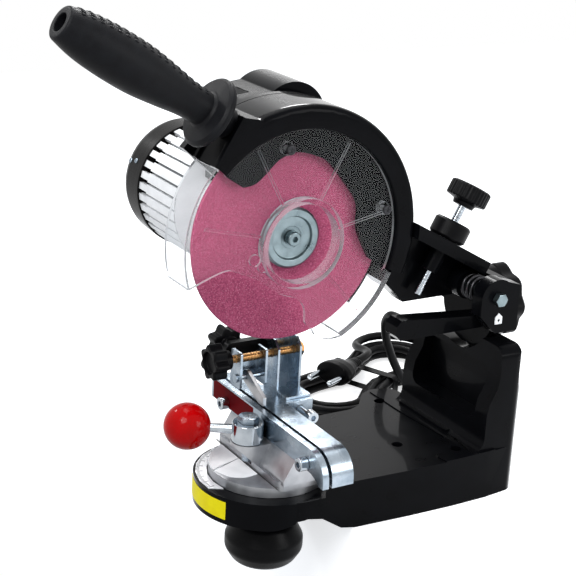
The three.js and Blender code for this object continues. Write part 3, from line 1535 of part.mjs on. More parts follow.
// Mains lead: gland, free stretch, tied hank and plug
const gland = {
  at: [168, 88],
  neckRadius: 6,
  inside: 8,
  collarRadius: 9,
  collarThick: 3,
  sleeveLength: 30,
  sleeveRoot: 6.5,
  sleeveTip: 4.6,
};
const cordRoute = [
  [-85.3, 168, 88], [-93, 168, 88], [-101, 168.5, 86], [-110, 171, 77],
  [-115.5, 177, 60], [-118, 187, 39], [-120, 199, 20], [-123, 210.5, 8],
  [-128, 220.5, 4], [-133.7, 232.6, 3.6], [-140.6, 248.1, 3.6],
];
const cordSteps = 32;
const hank = {
  at: [-155, 185],
  turn: 114,
  run: 104,
  inner: 22,
  spacing: 8.4,
  layer: 7.5,
  floor: 3.6,
  loops: 4 + 1 / 3,
  spiral: 2,
  waist: 12,
  rise: 1.4,
  sides: 6,
  tailEnd: [-12, 0, 27.3],
  tailPull: 34,
  tailSteps: 12,
  loopSteps: 24,
  measureSteps: 240,
};
const plug = {
  entry: 5,
  wide: 16,
  grip: 12,
  length: 38,
  flat: 0.62,
  pinRadius: 2.4,
  pinLength: 19,
  pinSpacing: 19,
  pinSeat: 6,
};
const tie = { width: 8, thick: 1.2, clear: 0.8 };

function makeGland(parent) {
  const wall = -baseHalfWidth;
  const face = wall - seatGap;
  const collarEnd = face - gland.collarThick;
  const relief = spun('x', [
    [0, wall + gland.inside], [gland.neckRadius, wall + gland.inside], [gland.neckRadius, face],
    [gland.collarRadius, face], [gland.collarRadius, collarEnd], [gland.sleeveRoot, collarEnd],
    [gland.sleeveTip, cordRoute[0][0] + seatGap], [0, cordRoute[0][0] + seatGap],
  ], gland.at, smallSides);
  addTo(parent, 'cord_gland', relief, rubberBlack);
}

function makeFreeCord(parent) {
  const points = cordRoute.map(([x, y, z]) => new THREE.Vector3(x, y, z));
  const curve = new THREE.CatmullRomCurve3(points, false, 'centripetal');
  const section = new THREE.Shape();
  section.absarc(0, 0, cordDiameter / 2, 0, 2 * Math.PI, false);
  const options = { steps: cordSteps, curveSegments: 4, extrudePath: curve, bevelEnabled: false };
  addTo(parent, 'cord', solid(new THREE.ExtrudeGeometry(section, options)), mouldedBlack);
  return curve.getLength();
}

// A point of the hank, s loops along it, in the hank's own frame
function hankPoint(s) {
  const phase = s - Math.floor(s);
  const end = hank.run / 2;
  const turns = s <= 2 * hank.spiral ? Math.abs(s - hank.spiral) : 3 * hank.spiral - s;
  const r = hank.inner + hank.spacing * turns;
  const climb = (from, span) => THREE.MathUtils.smoothstep(s, from, from + span);
  const level = climb(hank.spiral - 1 / 4, 1 / 2) + climb(2 * hank.spiral - 1 / 6, 1 / 2);
  const z = hank.floor + hank.layer * level;
  const drawn = (t) => Math.sin(Math.PI * t) ** 2;
  if (phase < 1 / 3) {
    const angle = (3 * phase - 1 / 2) * Math.PI;
    return new THREE.Vector3(end + r * Math.cos(angle), r * Math.sin(angle), z);
  }
  if (phase < 1 / 2) {
    const t = 6 * (phase - 1 / 3);
    return new THREE.Vector3(end - hank.run * t, r - hank.waist * drawn(t), z + hank.rise * drawn(t));
  }
  if (phase < 5 / 6) {
    const angle = (3 * phase - 1) * Math.PI;
    return new THREE.Vector3(-end + r * Math.cos(angle), r * Math.sin(angle), z);
  }
  const t = 6 * (phase - 5 / 6);
  return new THREE.Vector3(-end + hank.run * t, -r + hank.waist * drawn(t), z + hank.rise * drawn(t));
}

function hankPath(stepsPerLoop, tailSteps) {
  const points = [];
  const count = Math.round(hank.loops * stepsPerLoop);
  for (let i = 0; i <= count; i += 1) {
    points.push(hankPoint(i / stepsPerLoop));
  }
  const start = points[count];
  const last = new THREE.Vector3(...hank.tailEnd);
  const end = new THREE.Vector3(last.x + cordDiameter, last.y, last.z);
  const tail = new THREE.CubicBezierCurve3(
    start, new THREE.Vector3(start.x - hank.tailPull, start.y, start.z),
    new THREE.Vector3(end.x + hank.tailPull, end.y, end.z), end,
  );
  for (let i = 1; i <= tailSteps; i += 1) {
    points.push(tail.getPoint(i / tailSteps));
  }
  points.push(last);
  points.splice(1, 0, new THREE.Vector3(points[0].x + cordDiameter, points[0].y, points[0].z));
  return points;
}

// Least gap between two stretches of the hank, and its length
function measureHank() {
  const path = hankPath(hank.measureSteps, hank.measureSteps / 2);
  const along = [0];
  for (let i = 1; i < path.length; i += 1) {
    along.push(along[i - 1] + path[i].distanceTo(path[i - 1]));
  }
  let least = Infinity;
  for (let i = 0; i < path.length; i += 1) {
    for (let j = i + 1; j < path.length; j += 1) {
      if (along[j] - along[i] > 4 * cordDiameter) {
        least = Math.min(least, path[i].distanceTo(path[j]) - cordDiameter);
      }
    }
  }
  return [least, along[along.length - 1]];
}

function makeHank(parent) {
  const holder = groupAt(parent, ...hank.at, 0);
  holder.rotation.z = hank.turn * degree;
  const cordRadius = cordDiameter / 2;
  const path = hankPath(hank.loopSteps, hank.tailSteps);
  addTo(holder, 'cord_hank', tube(path, cordRadius, hank.sides), mouldedBlack);
  const half = hank.inner + hank.spacing * hank.spiral - hank.waist + cordRadius + tie.clear;
  const top = hank.floor + hank.rise + hank.layer + cordRadius + tie.clear;
  const across = [-half - tie.thick, half + tie.thick];
  const outside = roundedRectangle(across, [0, top + tie.thick], 3 * tie.thick);
  outside.holes.push(roundedRectangle([-half, half], [tie.thick, top], 2 * tie.thick));
  addTo(holder, 'cord_tie', plate('x', outside, [-tie.width / 2, tie.width / 2], 3), mouldedBlack);
  makePlug(holder);
}

function makePlug(holder) {
  const [x, y, z] = hank.tailEnd;
  const tip = x - seatGap;
  const front = tip - plug.length;
  const profile = [
    [0, tip], [plug.entry, tip], [plug.entry + overrun, tip - plug.grip],
    [plug.wide - overrun, tip - 2 * plug.grip], [plug.wide, front + plug.pinSeat],
    [plug.wide, front + overrun], [plug.wide - overrun, front], [0, front],
  ];
  const lathe = new THREE.LatheGeometry(profile.map(([r, a]) => new THREE.Vector2(r, a)), knobSides);
  lathe.rotateZ(-Math.PI / 2);
  lathe.scale(1, 1, plug.flat);
  lathe.translate(0, y, z);
  const spread = [-plug.pinSpacing / 2, plug.pinSpacing / 2];
  const seatSpan = [front - overrun, front + plug.pinSeat + seatGap];
  const seats = spread.map((side) => rod('x', plug.pinRadius + seatGap, seatSpan, [y + side, z]));
  addTo(holder, 'plug_body', cut(solid(lathe), ...seats), mouldedBlack);
  spread.forEach((side, i) => {
    const pin = rod('x', plug.pinRadius, [front - plug.pinLength, front + plug.pinSeat], [y + side, z]);
    addTo(holder, `plug_pin_${i + 1}`, pin, chromePlate);
  });
}

// Assembly
const footMiddle = [0, 112, 0];
const sharpener = new THREE.Group();
sharpener.name = 'chainsaw_sharpener';
const machine = groupAt(sharpener, -footMiddle[0], -footMiddle[1], -footMiddle[2]);

makeBase(machine);
makeScale(machine);
makeTurntable(machine);
makeSwivelBolt(machine);
makeViseKnob(machine);
makeLockWasher(machine);
makeFarJaw(machine);
makeNearJaw(machine);
makeJawScrews(machine);
makeCam(machine);
makeStopBracket(machine);
makeStopScrew(machine);
makeCarriage(machine);
makePawl(machine);
makeSideArm(machine);
makeYoke(machine);
makeTiltStud(machine);
makeTiltKnob(machine);
makeHingeBolt(machine);
makeSpring(machine);
makeHeadArm(machine);
makeGuardBolts(machine);
makeGuard(machine);
makeHandle(machine);
makeCover(machine);
makeBell(machine);
makeHousing(machine);
makeRearEnd(machine);
makeBearing(machine, 'front_bearing', motor.bellFront - motor.bellWall / 2 - bearing.width - seatGap);
makeBearing(machine, 'rear_bearing', motor.capX + motor.capWall + overrun + seatGap);
makeStator(machine);
makeSpindle(machine);
makeSwitchBox(machine);
makeDepthStop(machine);
makeGland(machine);
const freeLength = makeFreeCord(machine);
makeHank(machine);
const [leastGap, hankLength] = measureHank();
const cordLength = freeLength + hankLength;
console.log(`cord: least gap ${leastGap.toFixed(2)} mm, length ${cordLength.toFixed(0)} mm`);

export default sharpener;
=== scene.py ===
# Electric chainsaw sharpener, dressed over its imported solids.
# Pieces are drawn in millimetres about the vise's pivot, as the solids are,
# and toFrame() carries them to metres about the middle of the foot.
import json
import math

import bmesh
import bpy
from mathutils import Matrix, Vector

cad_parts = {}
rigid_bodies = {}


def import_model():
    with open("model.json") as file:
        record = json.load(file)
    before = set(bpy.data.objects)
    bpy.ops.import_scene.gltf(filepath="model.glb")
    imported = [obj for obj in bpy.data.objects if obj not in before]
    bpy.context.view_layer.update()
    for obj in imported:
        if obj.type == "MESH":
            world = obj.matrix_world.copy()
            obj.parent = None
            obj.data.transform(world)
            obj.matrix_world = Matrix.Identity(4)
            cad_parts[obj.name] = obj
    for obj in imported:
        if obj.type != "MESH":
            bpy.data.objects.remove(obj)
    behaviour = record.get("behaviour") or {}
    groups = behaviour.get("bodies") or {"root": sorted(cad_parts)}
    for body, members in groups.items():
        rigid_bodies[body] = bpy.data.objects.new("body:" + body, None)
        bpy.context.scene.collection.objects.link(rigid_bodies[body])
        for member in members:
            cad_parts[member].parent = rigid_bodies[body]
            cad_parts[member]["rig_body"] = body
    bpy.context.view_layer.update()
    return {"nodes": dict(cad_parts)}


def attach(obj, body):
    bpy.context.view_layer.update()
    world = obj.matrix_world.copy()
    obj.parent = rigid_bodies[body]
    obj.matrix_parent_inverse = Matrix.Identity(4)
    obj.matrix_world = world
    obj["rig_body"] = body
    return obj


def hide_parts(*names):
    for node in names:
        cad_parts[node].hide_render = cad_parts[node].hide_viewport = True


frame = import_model()
nodeBody = {node: obj["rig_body"] for node, obj in frame["nodes"].items()}
print("frame loaded:", len(nodeBody), "nodes")

footMiddle = Vector((0, 112, 0))
toFrame = Matrix.Scale(0.001, 4) @ Matrix.Translation(-footMiddle)
fromFrame = toFrame.inverted()
wheel = {"y": 6.7, "z": 201.0, "radius": 72.5, "thick": 3.2, "bore": 11.1}
wheelAxis = (wheel["y"], wheel["z"])
hingeAt = (152.5, 152)
tiltAt = (0, 131)
seatGap = 0.3
overrun = 2.0


cameraSet = {
    "place": (0.8066, -0.6002, 0.4930), "azimuth": 58.34, "elevation": 19.17,
    "roll": 3.08, "focal": 1485.9, "frame": 576, "sensor": 36.0,
}


def makeCamera():
    azimuth, elevation, roll = (math.radians(cameraSet[k]) for k in ("azimuth", "elevation", "roll"))
    forward = Vector((
        -math.sin(azimuth) * math.cos(elevation), math.cos(azimuth) * math.cos(elevation),
        -math.sin(elevation),
    ))
    level = Vector((math.cos(azimuth), math.sin(azimuth), 0))
    upright = level.cross(forward)
    right = math.cos(roll) * level + math.sin(roll) * upright
    up = math.cos(roll) * upright - math.sin(roll) * level
    turn = Matrix((right, up, -forward)).transposed().to_4x4()
    data = bpy.data.cameras.new("photoCamera")
    data.sensor_width = cameraSet["sensor"]
    data.lens = cameraSet["focal"] / cameraSet["frame"] * cameraSet["sensor"]
    data.clip_start = 0.05
    data.clip_end = 20
    camera = bpy.data.objects.new("photoCamera", data)
    bpy.context.scene.collection.objects.link(camera)
    camera.matrix_world = Matrix.Translation(Vector(cameraSet["place"])) @ turn
    bpy.context.scene.camera = camera


makeCamera()
# Keeps glints that are seen in other surfaces from leaving bright dots.
bpy.context.scene.cycles.sample_clamp_indirect = 1.5
bpy.context.scene.cycles.blur_glossy = 1.0
print("camera set")


def link(tree, source, target):
    tree.links.new(source, target)


def addNode(tree, kind, **values):
    node = tree.nodes.new(kind)
    for key, value in values.items():
        if hasattr(node, key):
            setattr(node, key, value)
        else:
            node.inputs[key].default_value = value
    return node


def mixColour(tree, factor, first, second):
    mix = addNode(tree, "ShaderNodeMix", data_type="RGBA")
    link(tree, factor, mix.inputs["Factor"])
    mix.inputs["A"].default_value = (*first, 1)
    mix.inputs["B"].default_value = (*second, 1)
    return mix.outputs["Result"]


def stretch(tree, source, low, high):
    node = addNode(tree, "ShaderNodeMapRange")
    link(tree, source, node.inputs["Value"])
    node.inputs["From Min"].default_value = 0.3
    node.inputs["From Max"].default_value = 0.7
    node.inputs["To Min"].default_value = low
    node.inputs["To Max"].default_value = high
    return node.outputs["Result"]


def noiseAt(tree, coordinates, scale, detail=3.0, stretched=None):
    source = coordinates
    if stretched:
        mapping = addNode(tree, "ShaderNodeMapping")
        mapping.inputs["Scale"].default_value = stretched
        link(tree, coordinates, mapping.inputs["Vector"])
        source = mapping.outputs["Vector"]
    noise = addNode(tree, "ShaderNodeTexNoise")
    noise.inputs["Scale"].default_value = scale
    noise.inputs["Detail"].default_value = detail
    link(tree, source, noise.inputs["Vector"])
    return noise.outputs["Fac"]


def byFacing(tree, span, values):
    facing = addNode(tree, "ShaderNodeLayerWeight")
    facing.inputs["Blend"].default_value = 0.5
    spread = addNode(tree, "ShaderNodeMapRange")
    link(tree, facing.outputs["Facing"], spread.inputs["Value"])
    for socket, value in zip(("From Min", "From Max", "To Min", "To Max"), (*span, *values)):
        spread.inputs[socket].default_value = value
    return spread.outputs["Result"]


def makeFinish(name, look):
    material = bpy.data.materials.new(name)
    material.use_nodes = True
    tree = material.node_tree
    shader = tree.nodes["Principled BSDF"]
    coordinates = addNode(tree, "ShaderNodeTexCoord").outputs["Object"]
    patches = noiseAt(tree, coordinates, look["patch"], 4.0, look.get("stretched"))
    grain = noiseAt(tree, coordinates, look["grain"], 2.0, look.get("stretched"))
    shade = stretch(tree, patches, 0, 1)
    link(tree, mixColour(tree, shade, look["dark"], look["colour"]), shader.inputs["Base Color"])
    link(tree, stretch(tree, patches, *look["rough"]), shader.inputs["Roughness"])
    shader.inputs["Metallic"].default_value = look.get("metal", 0)
    shader.inputs["Specular IOR Level"].default_value = look.get("specular", 0.5)
    shader.inputs["Coat Weight"].default_value = look.get("coat", 0)
    if "graze" in look:
        link(tree, byFacing(tree, look["grazeSpan"], look["graze"]), shader.inputs["Coat Weight"])
    shader.inputs["Coat Roughness"].default_value = 0.06
    bump = addNode(tree, "ShaderNodeBump")
    bump.inputs["Strength"].default_value = look["bump"]
    bump.inputs["Distance"].default_value = look["relief"]
    link(tree, grain, bump.inputs["Height"])
    link(tree, bump.outputs["Normal"], shader.inputs["Normal"])
    return material


looks = {
    "black_casting": {
        "colour": (0.0026, 0.0028, 0.0037), "dark": (0.0018, 0.0019, 0.0024), "rough": (0.26, 0.36),
        "patch": 60, "grain": 500, "bump": 0.03, "relief": 0.0002, "specular": 0.022,
        "graze": (0.045, 0.95), "grazeSpan": (0.5, 0.85),
    },
    "silver_casting": {
        "colour": (0.92, 0.93, 0.94), "dark": (0.8, 0.81, 0.82), "rough": (0.4, 0.55),
        "patch": 90, "grain": 2200, "bump": 0.18, "relief": 0.0002, "metal": 0.35,
    },
    "zinc_plate": {
        "colour": (0.42, 0.48, 0.54), "dark": (0.2, 0.25, 0.3), "rough": (0.18, 0.32),
        "patch": 70, "grain": 900, "bump": 0.08, "relief": 0.0002, "metal": 1.0,
    },
    "chrome_plate": {
        "colour": (0.52, 0.56, 0.6), "dark": (0.34, 0.38, 0.42), "rough": (0.08, 0.16),
        "patch": 80, "grain": 600, "bump": 0.03, "relief": 0.0002, "metal": 1.0,
    },
    "bare_steel": {
        "colour": (0.5, 0.5, 0.51), "dark": (0.33, 0.33, 0.34), "rough": (0.28, 0.42),
        "patch": 120, "grain": 1500, "bump": 0.1, "relief": 0.0002, "metal": 1.0,
    },
    "yellow_zinc": {
        "colour": (0.46, 0.25, 0.09), "dark": (0.24, 0.12, 0.05), "rough": (0.22, 0.34),
        "patch": 200, "grain": 1500, "bump": 0.08, "relief": 0.0002, "metal": 1.0,
    },
    "moulded_black": {
        "colour": (0.004, 0.004, 0.0045), "dark": (0.0025, 0.0025, 0.003), "rough": (0.3, 0.42),
        "patch": 110, "grain": 2600, "bump": 0.15, "relief": 0.0003, "specular": 0.07,
    },
    "rubber_black": {
        "colour": (0.0075, 0.008, 0.0095), "dark": (0.005, 0.005, 0.006), "rough": (0.38, 0.5),
        "patch": 140, "grain": 3000, "bump": 0.3, "relief": 0.0003, "specular": 0.09,
    },
    "red_gloss": {
        "colour": (0.45, 0.001, 0.002), "dark": (0.36, 0.001, 0.001), "rough": (0.1, 0.16),
        "patch": 60, "grain": 300, "bump": 0.03, "relief": 0.0002, "specular": 0.07, "coat": 0.06,
    },
    "scale_silver": {
        "colour": (0.86, 0.87, 0.88), "dark": (0.74, 0.75, 0.77), "rough": (0.32, 0.45),
        "patch": 60, "grain": 1800, "bump": 0.08, "relief": 0.0002, "metal": 0.25,
        "stretched": (1, 14, 1),
    },
    "mark_black": {
        "colour": (0.02, 0.02, 0.02), "dark": (0.03, 0.03, 0.03), "rough": (0.5, 0.6),
        "patch": 300, "grain": 900, "bump": 0.05, "relief": 0.0001,
    },
    "cast_grey": {
        "colour": (0.5, 0.51, 0.53), "dark": (0.3, 0.31, 0.33), "rough": (0.3, 0.44),
        "patch": 70, "grain": 1800, "bump": 0.14, "relief": 0.0002, "metal": 0.9,
    },
    # Painted shade: the housing's tube, seen at the floor of the grooves between the ribs, is a darker grey
    # than the ribs.
    "groove_grey": {
        "colour": (0.2, 0.21, 0.22), "dark": (0.12, 0.13, 0.14), "rough": (0.4, 0.55),
        "patch": 90, "grain": 2200, "bump": 0.15, "relief": 0.0002, "metal": 0.6,
    },
    "flange_zinc": {
        "colour": (0.24, 0.3, 0.32), "dark": (0.13, 0.17, 0.185), "rough": (0.24, 0.38),
        "patch": 90, "grain": 1100, "bump": 0.1, "relief": 0.0002, "metal": 1.0,
    },
    "dark_steel": {
        "colour": (0.05, 0.05, 0.055), "dark": (0.03, 0.03, 0.032), "rough": (0.25, 0.4),
        "patch": 120, "grain": 1500, "bump": 0.1, "relief": 0.0002, "metal": 1.0,
    },
    "end_black": {
        "colour": (0.006, 0.0055, 0.0055), "dark": (0.004, 0.004, 0.004), "rough": (0.22, 0.32),
        "patch": 90, "grain": 1600, "bump": 0.1, "relief": 0.0003, "specular": 0.1,
    },
    "label_red": {
        "colour": (0.13, 0.002, 0.004), "dark": (0.09, 0.001, 0.003), "rough": (0.5, 0.6),
        "patch": 150, "grain": 900, "bump": 0.05, "relief": 0.0001, "specular": 0.03,
    },
    "label_white": {
        "colour": (0.95, 0.96, 0.97), "dark": (0.88, 0.89, 0.9), "rough": (0.45, 0.55),
        "patch": 150, "grain": 900, "bump": 0.05, "relief": 0.0001,
    },
    "label_yellow": {
        "colour": (0.92, 0.8, 0.008), "dark": (0.84, 0.7, 0.005), "rough": (0.4, 0.5),
        "patch": 150, "grain": 900, "bump": 0.05, "relief": 0.0001, "specular": 0.1,
    },
}
finishes = {name: makeFinish(name, look) for name, look in looks.items()}


def makeGrit():
    grit = {"colour": (0.42, 0.085, 0.165), "pale": (0.68, 0.3, 0.4), "deep": (0.2, 0.028, 0.07)}
    material = bpy.data.materials.new("pink_grit")
    material.use_nodes = True
    tree = material.node_tree
    shader = tree.nodes["Principled BSDF"]
    coordinates = addNode(tree, "ShaderNodeTexCoord").outputs["Object"]
    cloud = noiseAt(tree, coordinates, 60, 3.0)
    speck = addNode(tree, "ShaderNodeTexVoronoi")
    speck.inputs["Scale"].default_value = 800
    link(tree, coordinates, speck.inputs["Vector"])
    grains = noiseAt(tree, coordinates, 1000, 4.0)
    first = addNode(tree, "ShaderNodeMix", data_type="RGBA")
    link(tree, stretch(tree, grains, 0, 1), first.inputs["Factor"])
    first.inputs["A"].default_value = (*grit["deep"], 1)
    first.inputs["B"].default_value = (*grit["colour"], 1)
    spark = addNode(tree, "ShaderNodeMath", operation="LESS_THAN")
    link(tree, speck.outputs["Distance"], spark.inputs[0])
    spark.inputs[1].default_value = 0.22
    half = addNode(tree, "ShaderNodeMath", operation="MULTIPLY")
    link(tree, spark.outputs[0], half.inputs[0])
    link(tree, cloud, half.inputs[1])
    last = addNode(tree, "ShaderNodeMix", data_type="RGBA")
    link(tree, half.outputs[0], last.inputs["Factor"])
    link(tree, first.outputs["Result"], last.inputs["A"])
    last.inputs["B"].default_value = (*grit["pale"], 1)
    link(tree, last.outputs["Result"], shader.inputs["Base Color"])
    shader.inputs["Roughness"].default_value = 0.95
    shader.inputs["Specular IOR Level"].default_value = 0.25
    bump = addNode(tree, "ShaderNodeBump")
    bump.inputs["Strength"].default_value = 0.6
    bump.inputs["Distance"].default_value = 0.0004
    link(tree, grains, bump.inputs["Height"])
    link(tree, bump.outputs["Normal"], shader.inputs["Normal"])
    return material


def makeClear(name, tint, paintedEdgeShade, roughness, shadowTint):
    material = bpy.data.materials.new(name)
    material.use_nodes = True
    tree = material.node_tree
    shader = tree.nodes["Principled BSDF"]
    shader.inputs["Roughness"].default_value = roughness
    shader.inputs["IOR"].default_value = 1.18
    # Painted shade: the base colour goes from the clear tint to grey where the surface is seen edge-on, so
    # rims and edges read darker.
    edgeShadeShare = byFacing(tree, (0.32, 0.8), (0, 1))
    link(tree, mixColour(tree, edgeShadeShare, tint, paintedEdgeShade), shader.inputs["Base Color"])
    link(tree, byFacing(tree, (0.3, 0.75), (1, 0.6)), shader.inputs["Transmission Weight"])
    coordinates = addNode(tree, "ShaderNodeTexCoord").outputs["Object"]
    bump = addNode(tree, "ShaderNodeBump")
    bump.inputs["Strength"].default_value = 0.05
    bump.inputs["Distance"].default_value = 0.0004
    link(tree, noiseAt(tree, coordinates, 70, 2.0), bump.inputs["Height"])
    link(tree, bump.outputs["Normal"], shader.inputs["Normal"])
    see = addNode(tree, "ShaderNodeBsdfTransparent")
    see.inputs["Color"].default_value = (*shadowTint, 1)
    path = addNode(tree, "ShaderNodeLightPath")
    mix = addNode(tree, "ShaderNodeMixShader")
    link(tree, path.outputs["Is Shadow Ray"], mix.inputs["Fac"])
    link(tree, shader.outputs["BSDF"], mix.inputs[1])
    link(tree, see.outputs["BSDF"], mix.inputs[2])
    link(tree, mix.outputs["Shader"], tree.nodes["Material Output"].inputs["Surface"])
    return material


finishes["pink_grit"] = makeGrit()
# The second colour is a painted shade for the cover's edge-on rims and edges.
finishes["clear_plastic"] = makeClear(
    "clear_plastic", (0.97, 0.98, 0.985), (0.56, 0.59, 0.62), 0.0, (0.9, 0.91, 0.92),
)
print("finishes made:", len(finishes))


def newPiece(name, mesh):
    piece = bpy.data.objects.new(name, mesh)
    bpy.context.scene.collection.objects.link(piece)
    return piece


def fromLists(name, points, faces):
    mesh = bpy.data.meshes.new(name)
    mesh.from_pydata([tuple(p) for p in points], [], faces)
    shape = bmesh.new()
    shape.from_mesh(mesh)
    bmesh.ops.recalc_face_normals(shape, faces=shape.faces)
    shape.to_mesh(mesh)
    shape.free()
    return newPiece(name, mesh)


def place(axis, u, v, along):
    if axis == "x":
        return (along, u, v)
    if axis == "y":
        return (u, along, v)
    return (u, v, along)


def plate(axis, outline, span):
    count = len(outline)
    points = [place(axis, u, v, along) for along in span for u, v in outline]
    faces = [tuple(range(count)), tuple(range(count, 2 * count))]
    faces += [(i, (i + 1) % count, count + (i + 1) % count, count + i) for i in range(count)]
    return fromLists("plate", points, faces)


def block(x, y, z):
    return plate("z", [(x[0], y[0]), (x[1], y[0]), (x[1], y[1]), (x[0], y[1])], z)


def filleted(corners, radius, closed=False, steps=4):
    made = []
    count = len(corners)
    for i, corner in enumerate(corners):
        here = Vector(corner[:2])
        size = corner[2] if len(corner) > 2 else radius
        if (not closed and i in (0, count - 1)) or size <= 0:
            made.append(tuple(here))
            continue
        back = Vector(corners[i - 1][:2]) - here
        ahead = Vector(corners[(i + 1) % count][:2]) - here
        if back.length < 1e-6 or ahead.length < 1e-6:
            made.append(tuple(here))
            continue
        angle = back.angle(ahead)
        if angle > math.pi - 0.05:
            made.append(tuple(here))
            continue
        reach = min(size / math.tan(angle / 2), 0.48 * back.length, 0.48 * ahead.length)
        start = here + back.normalized() * reach
        end = here + ahead.normalized() * reach
        for k in range(steps + 1):
            t = k / steps
            made.append(tuple((1 - t) ** 2 * start + 2 * t * (1 - t) * here + t * t * end))
    return made


def turned(axis, profile, at=(0, 0), sides=72, closed=False, turn=360.0, start=0.0):
    whole = turn >= 360
    columns = sides if whole else sides + 1
    points = []
    rows = []
    for radius, along in profile:
        if radius < 1e-6:
            rows.append([len(points)] * columns)
            points.append(place(axis, at[0], at[1], along))
            continue
        rows.append(list(range(len(points), len(points) + columns)))
        for i in range(columns):
            angle = math.radians(start + turn * i / sides)
            points.append(place(
                axis, at[0] + radius * math.cos(angle), at[1] + radius * math.sin(angle), along,
            ))
    faces = []
    pairs = list(zip(rows, rows[1:])) + ([(rows[-1], rows[0])] if closed else [])
    for low, high in pairs:
        for i in range(sides):
            j = (i + 1) % columns if whole else i + 1
            corners = [low[i], low[j], high[j], high[i]]
            face = [c for k, c in enumerate(corners) if c not in corners[:k]]
            if len(face) > 2:
                faces.append(tuple(face))
    if not whole:
        faces.append(tuple(row[0] for row in rows))
        faces.append(tuple(row[-1] for row in rows))
    return fromLists("turned", points, faces)


def rod(axis, radius, span, at=(0, 0), sides=32):
    return turned(axis, [(0, span[0]), (radius, span[0]), (radius, span[1]), (0, span[1])], at, sides)


def hexagon(axis, flats, span, at=(0, 0)):
    return rod(axis, flats / math.sqrt(3), span, at, 6)


def settle(piece):
    graph = bpy.context.evaluated_depsgraph_get()
    mesh = bpy.data.meshes.new_from_object(piece.evaluated_get(graph))
    piece.modifiers.clear()
    old = piece.data
    piece.data = mesh
    bpy.data.meshes.remove(old)
    return piece


def moved(piece, matrix):
    piece.data.transform(matrix)
    return piece


def drop(piece):
    mesh = piece.data
    bpy.data.objects.remove(piece)
    bpy.data.meshes.remove(mesh)


def combine(operation, body, tools):
    for tool in tools:
        step = body.modifiers.new(operation, "BOOLEAN")
        step.operation = operation
        step.solver = "MANIFOLD"
        step.object = tool
        settle(body)
        drop(tool)
    return body


def join(body, *tools):
    return combine("UNION", body, tools)


def cut(body, *tools):
    return combine("DIFFERENCE", body, tools)


def gather(pieces):
    whole = bmesh.new()
    for piece in pieces:
        whole.from_mesh(piece.data)
    mesh = bpy.data.meshes.new("gathered")
    whole.to_mesh(mesh)
    whole.free()
    for piece in pieces:
        drop(piece)
    return newPiece("gathered", mesh)


def tidyMesh(piece, flatness=0.6):
    shape = bmesh.new()
    shape.from_mesh(piece.data)
    bmesh.ops.remove_doubles(shape, verts=shape.verts, dist=1e-3)
    bmesh.ops.dissolve_limit(
        shape, angle_limit=math.radians(flatness), verts=shape.verts, edges=shape.edges,
    )
    many = [face for face in shape.faces if len(face.verts) > 4]
    bmesh.ops.triangulate(shape, faces=many)
    shape.to_mesh(piece.data)
    shape.free()


def easeEdges(piece, width, segments=2, angle=32, flatness=0.6):
    tidyMesh(piece, flatness)
    if width > 0:
        bevel = piece.modifiers.new("edges", "BEVEL")
        bevel.width = width
        bevel.segments = segments
        bevel.limit_method = "ANGLE"
        bevel.angle_limit = math.radians(angle)
        bevel.use_clamp_overlap = True
        bevel.miter_outer = "MITER_ARC"
        settle(piece)
    return piece


def smoothShading(piece, angle=38):
    mesh = piece.data
    mesh.polygons.foreach_set("use_smooth", [True] * len(mesh.polygons))
    mesh.set_sharp_from_angle(angle=math.radians(angle))
    even = piece.modifiers.new("even", "WEIGHTED_NORMAL")
    even.keep_sharp = True
    settle(piece)


depthAxis = {"at": (10, 130.9, 187), "lean": -28.55}
depthPlace = (
    Matrix.Translation(Vector(depthAxis["at"]))
    @ Matrix.Rotation(math.radians(depthAxis["lean"]), 4, "X")
)


def dress(piece, name, body, finish, replaces=(), smooth=38, scaled=False):
    piece.name = name
    piece.data.name = name
    if not scaled:
        piece.data.transform(toFrame)
    piece.data.materials.clear()
    piece.data.materials.append(finishes[finish])
    smoothShading(piece, smooth)
    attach(piece, body)
    if replaces:
        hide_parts(*replaces)
    return piece


def nodeCopy(node):
    mesh = frame["nodes"][node].data.copy()
    mesh.transform(fromFrame)
    piece = newPiece(node + "Copy", mesh)
    shape = bmesh.new()
    shape.from_mesh(mesh)
    bmesh.ops.remove_doubles(shape, verts=shape.verts, dist=2e-3)
    shape.to_mesh(mesh)
    shape.free()
    if "custom_normal" in mesh.attributes:
        mesh.attributes.remove(mesh.attributes["custom_normal"])
    return piece


def newTree(name, inputs):
    tree = bpy.data.node_groups.new(name, "GeometryNodeTree")
    tree.interface.new_socket("Geometry", in_out="INPUT", socket_type="NodeSocketGeometry")
    for label, kind, value in inputs:
        socket = tree.interface.new_socket(label, in_out="INPUT", socket_type="NodeSocket" + kind)
        if value is not None:
            socket.default_value = value
    tree.interface.new_socket("Geometry", in_out="OUTPUT", socket_type="NodeSocketGeometry")
    start = tree.nodes.new("NodeGroupInput")
    end = tree.nodes.new("NodeGroupOutput")
    return tree, start, end


def closeTree(tree, start, end, instances):
    real = tree.nodes.new("GeometryNodeRealizeInstances")
    coat = tree.nodes.new("GeometryNodeSetMaterial")
    link(tree, instances, real.inputs["Geometry"])
    link(tree, real.outputs["Geometry"], coat.inputs["Geometry"])
    link(tree, start.outputs["Finish"], coat.inputs["Material"])
    link(tree, coat.outputs["Geometry"], end.inputs["Geometry"])


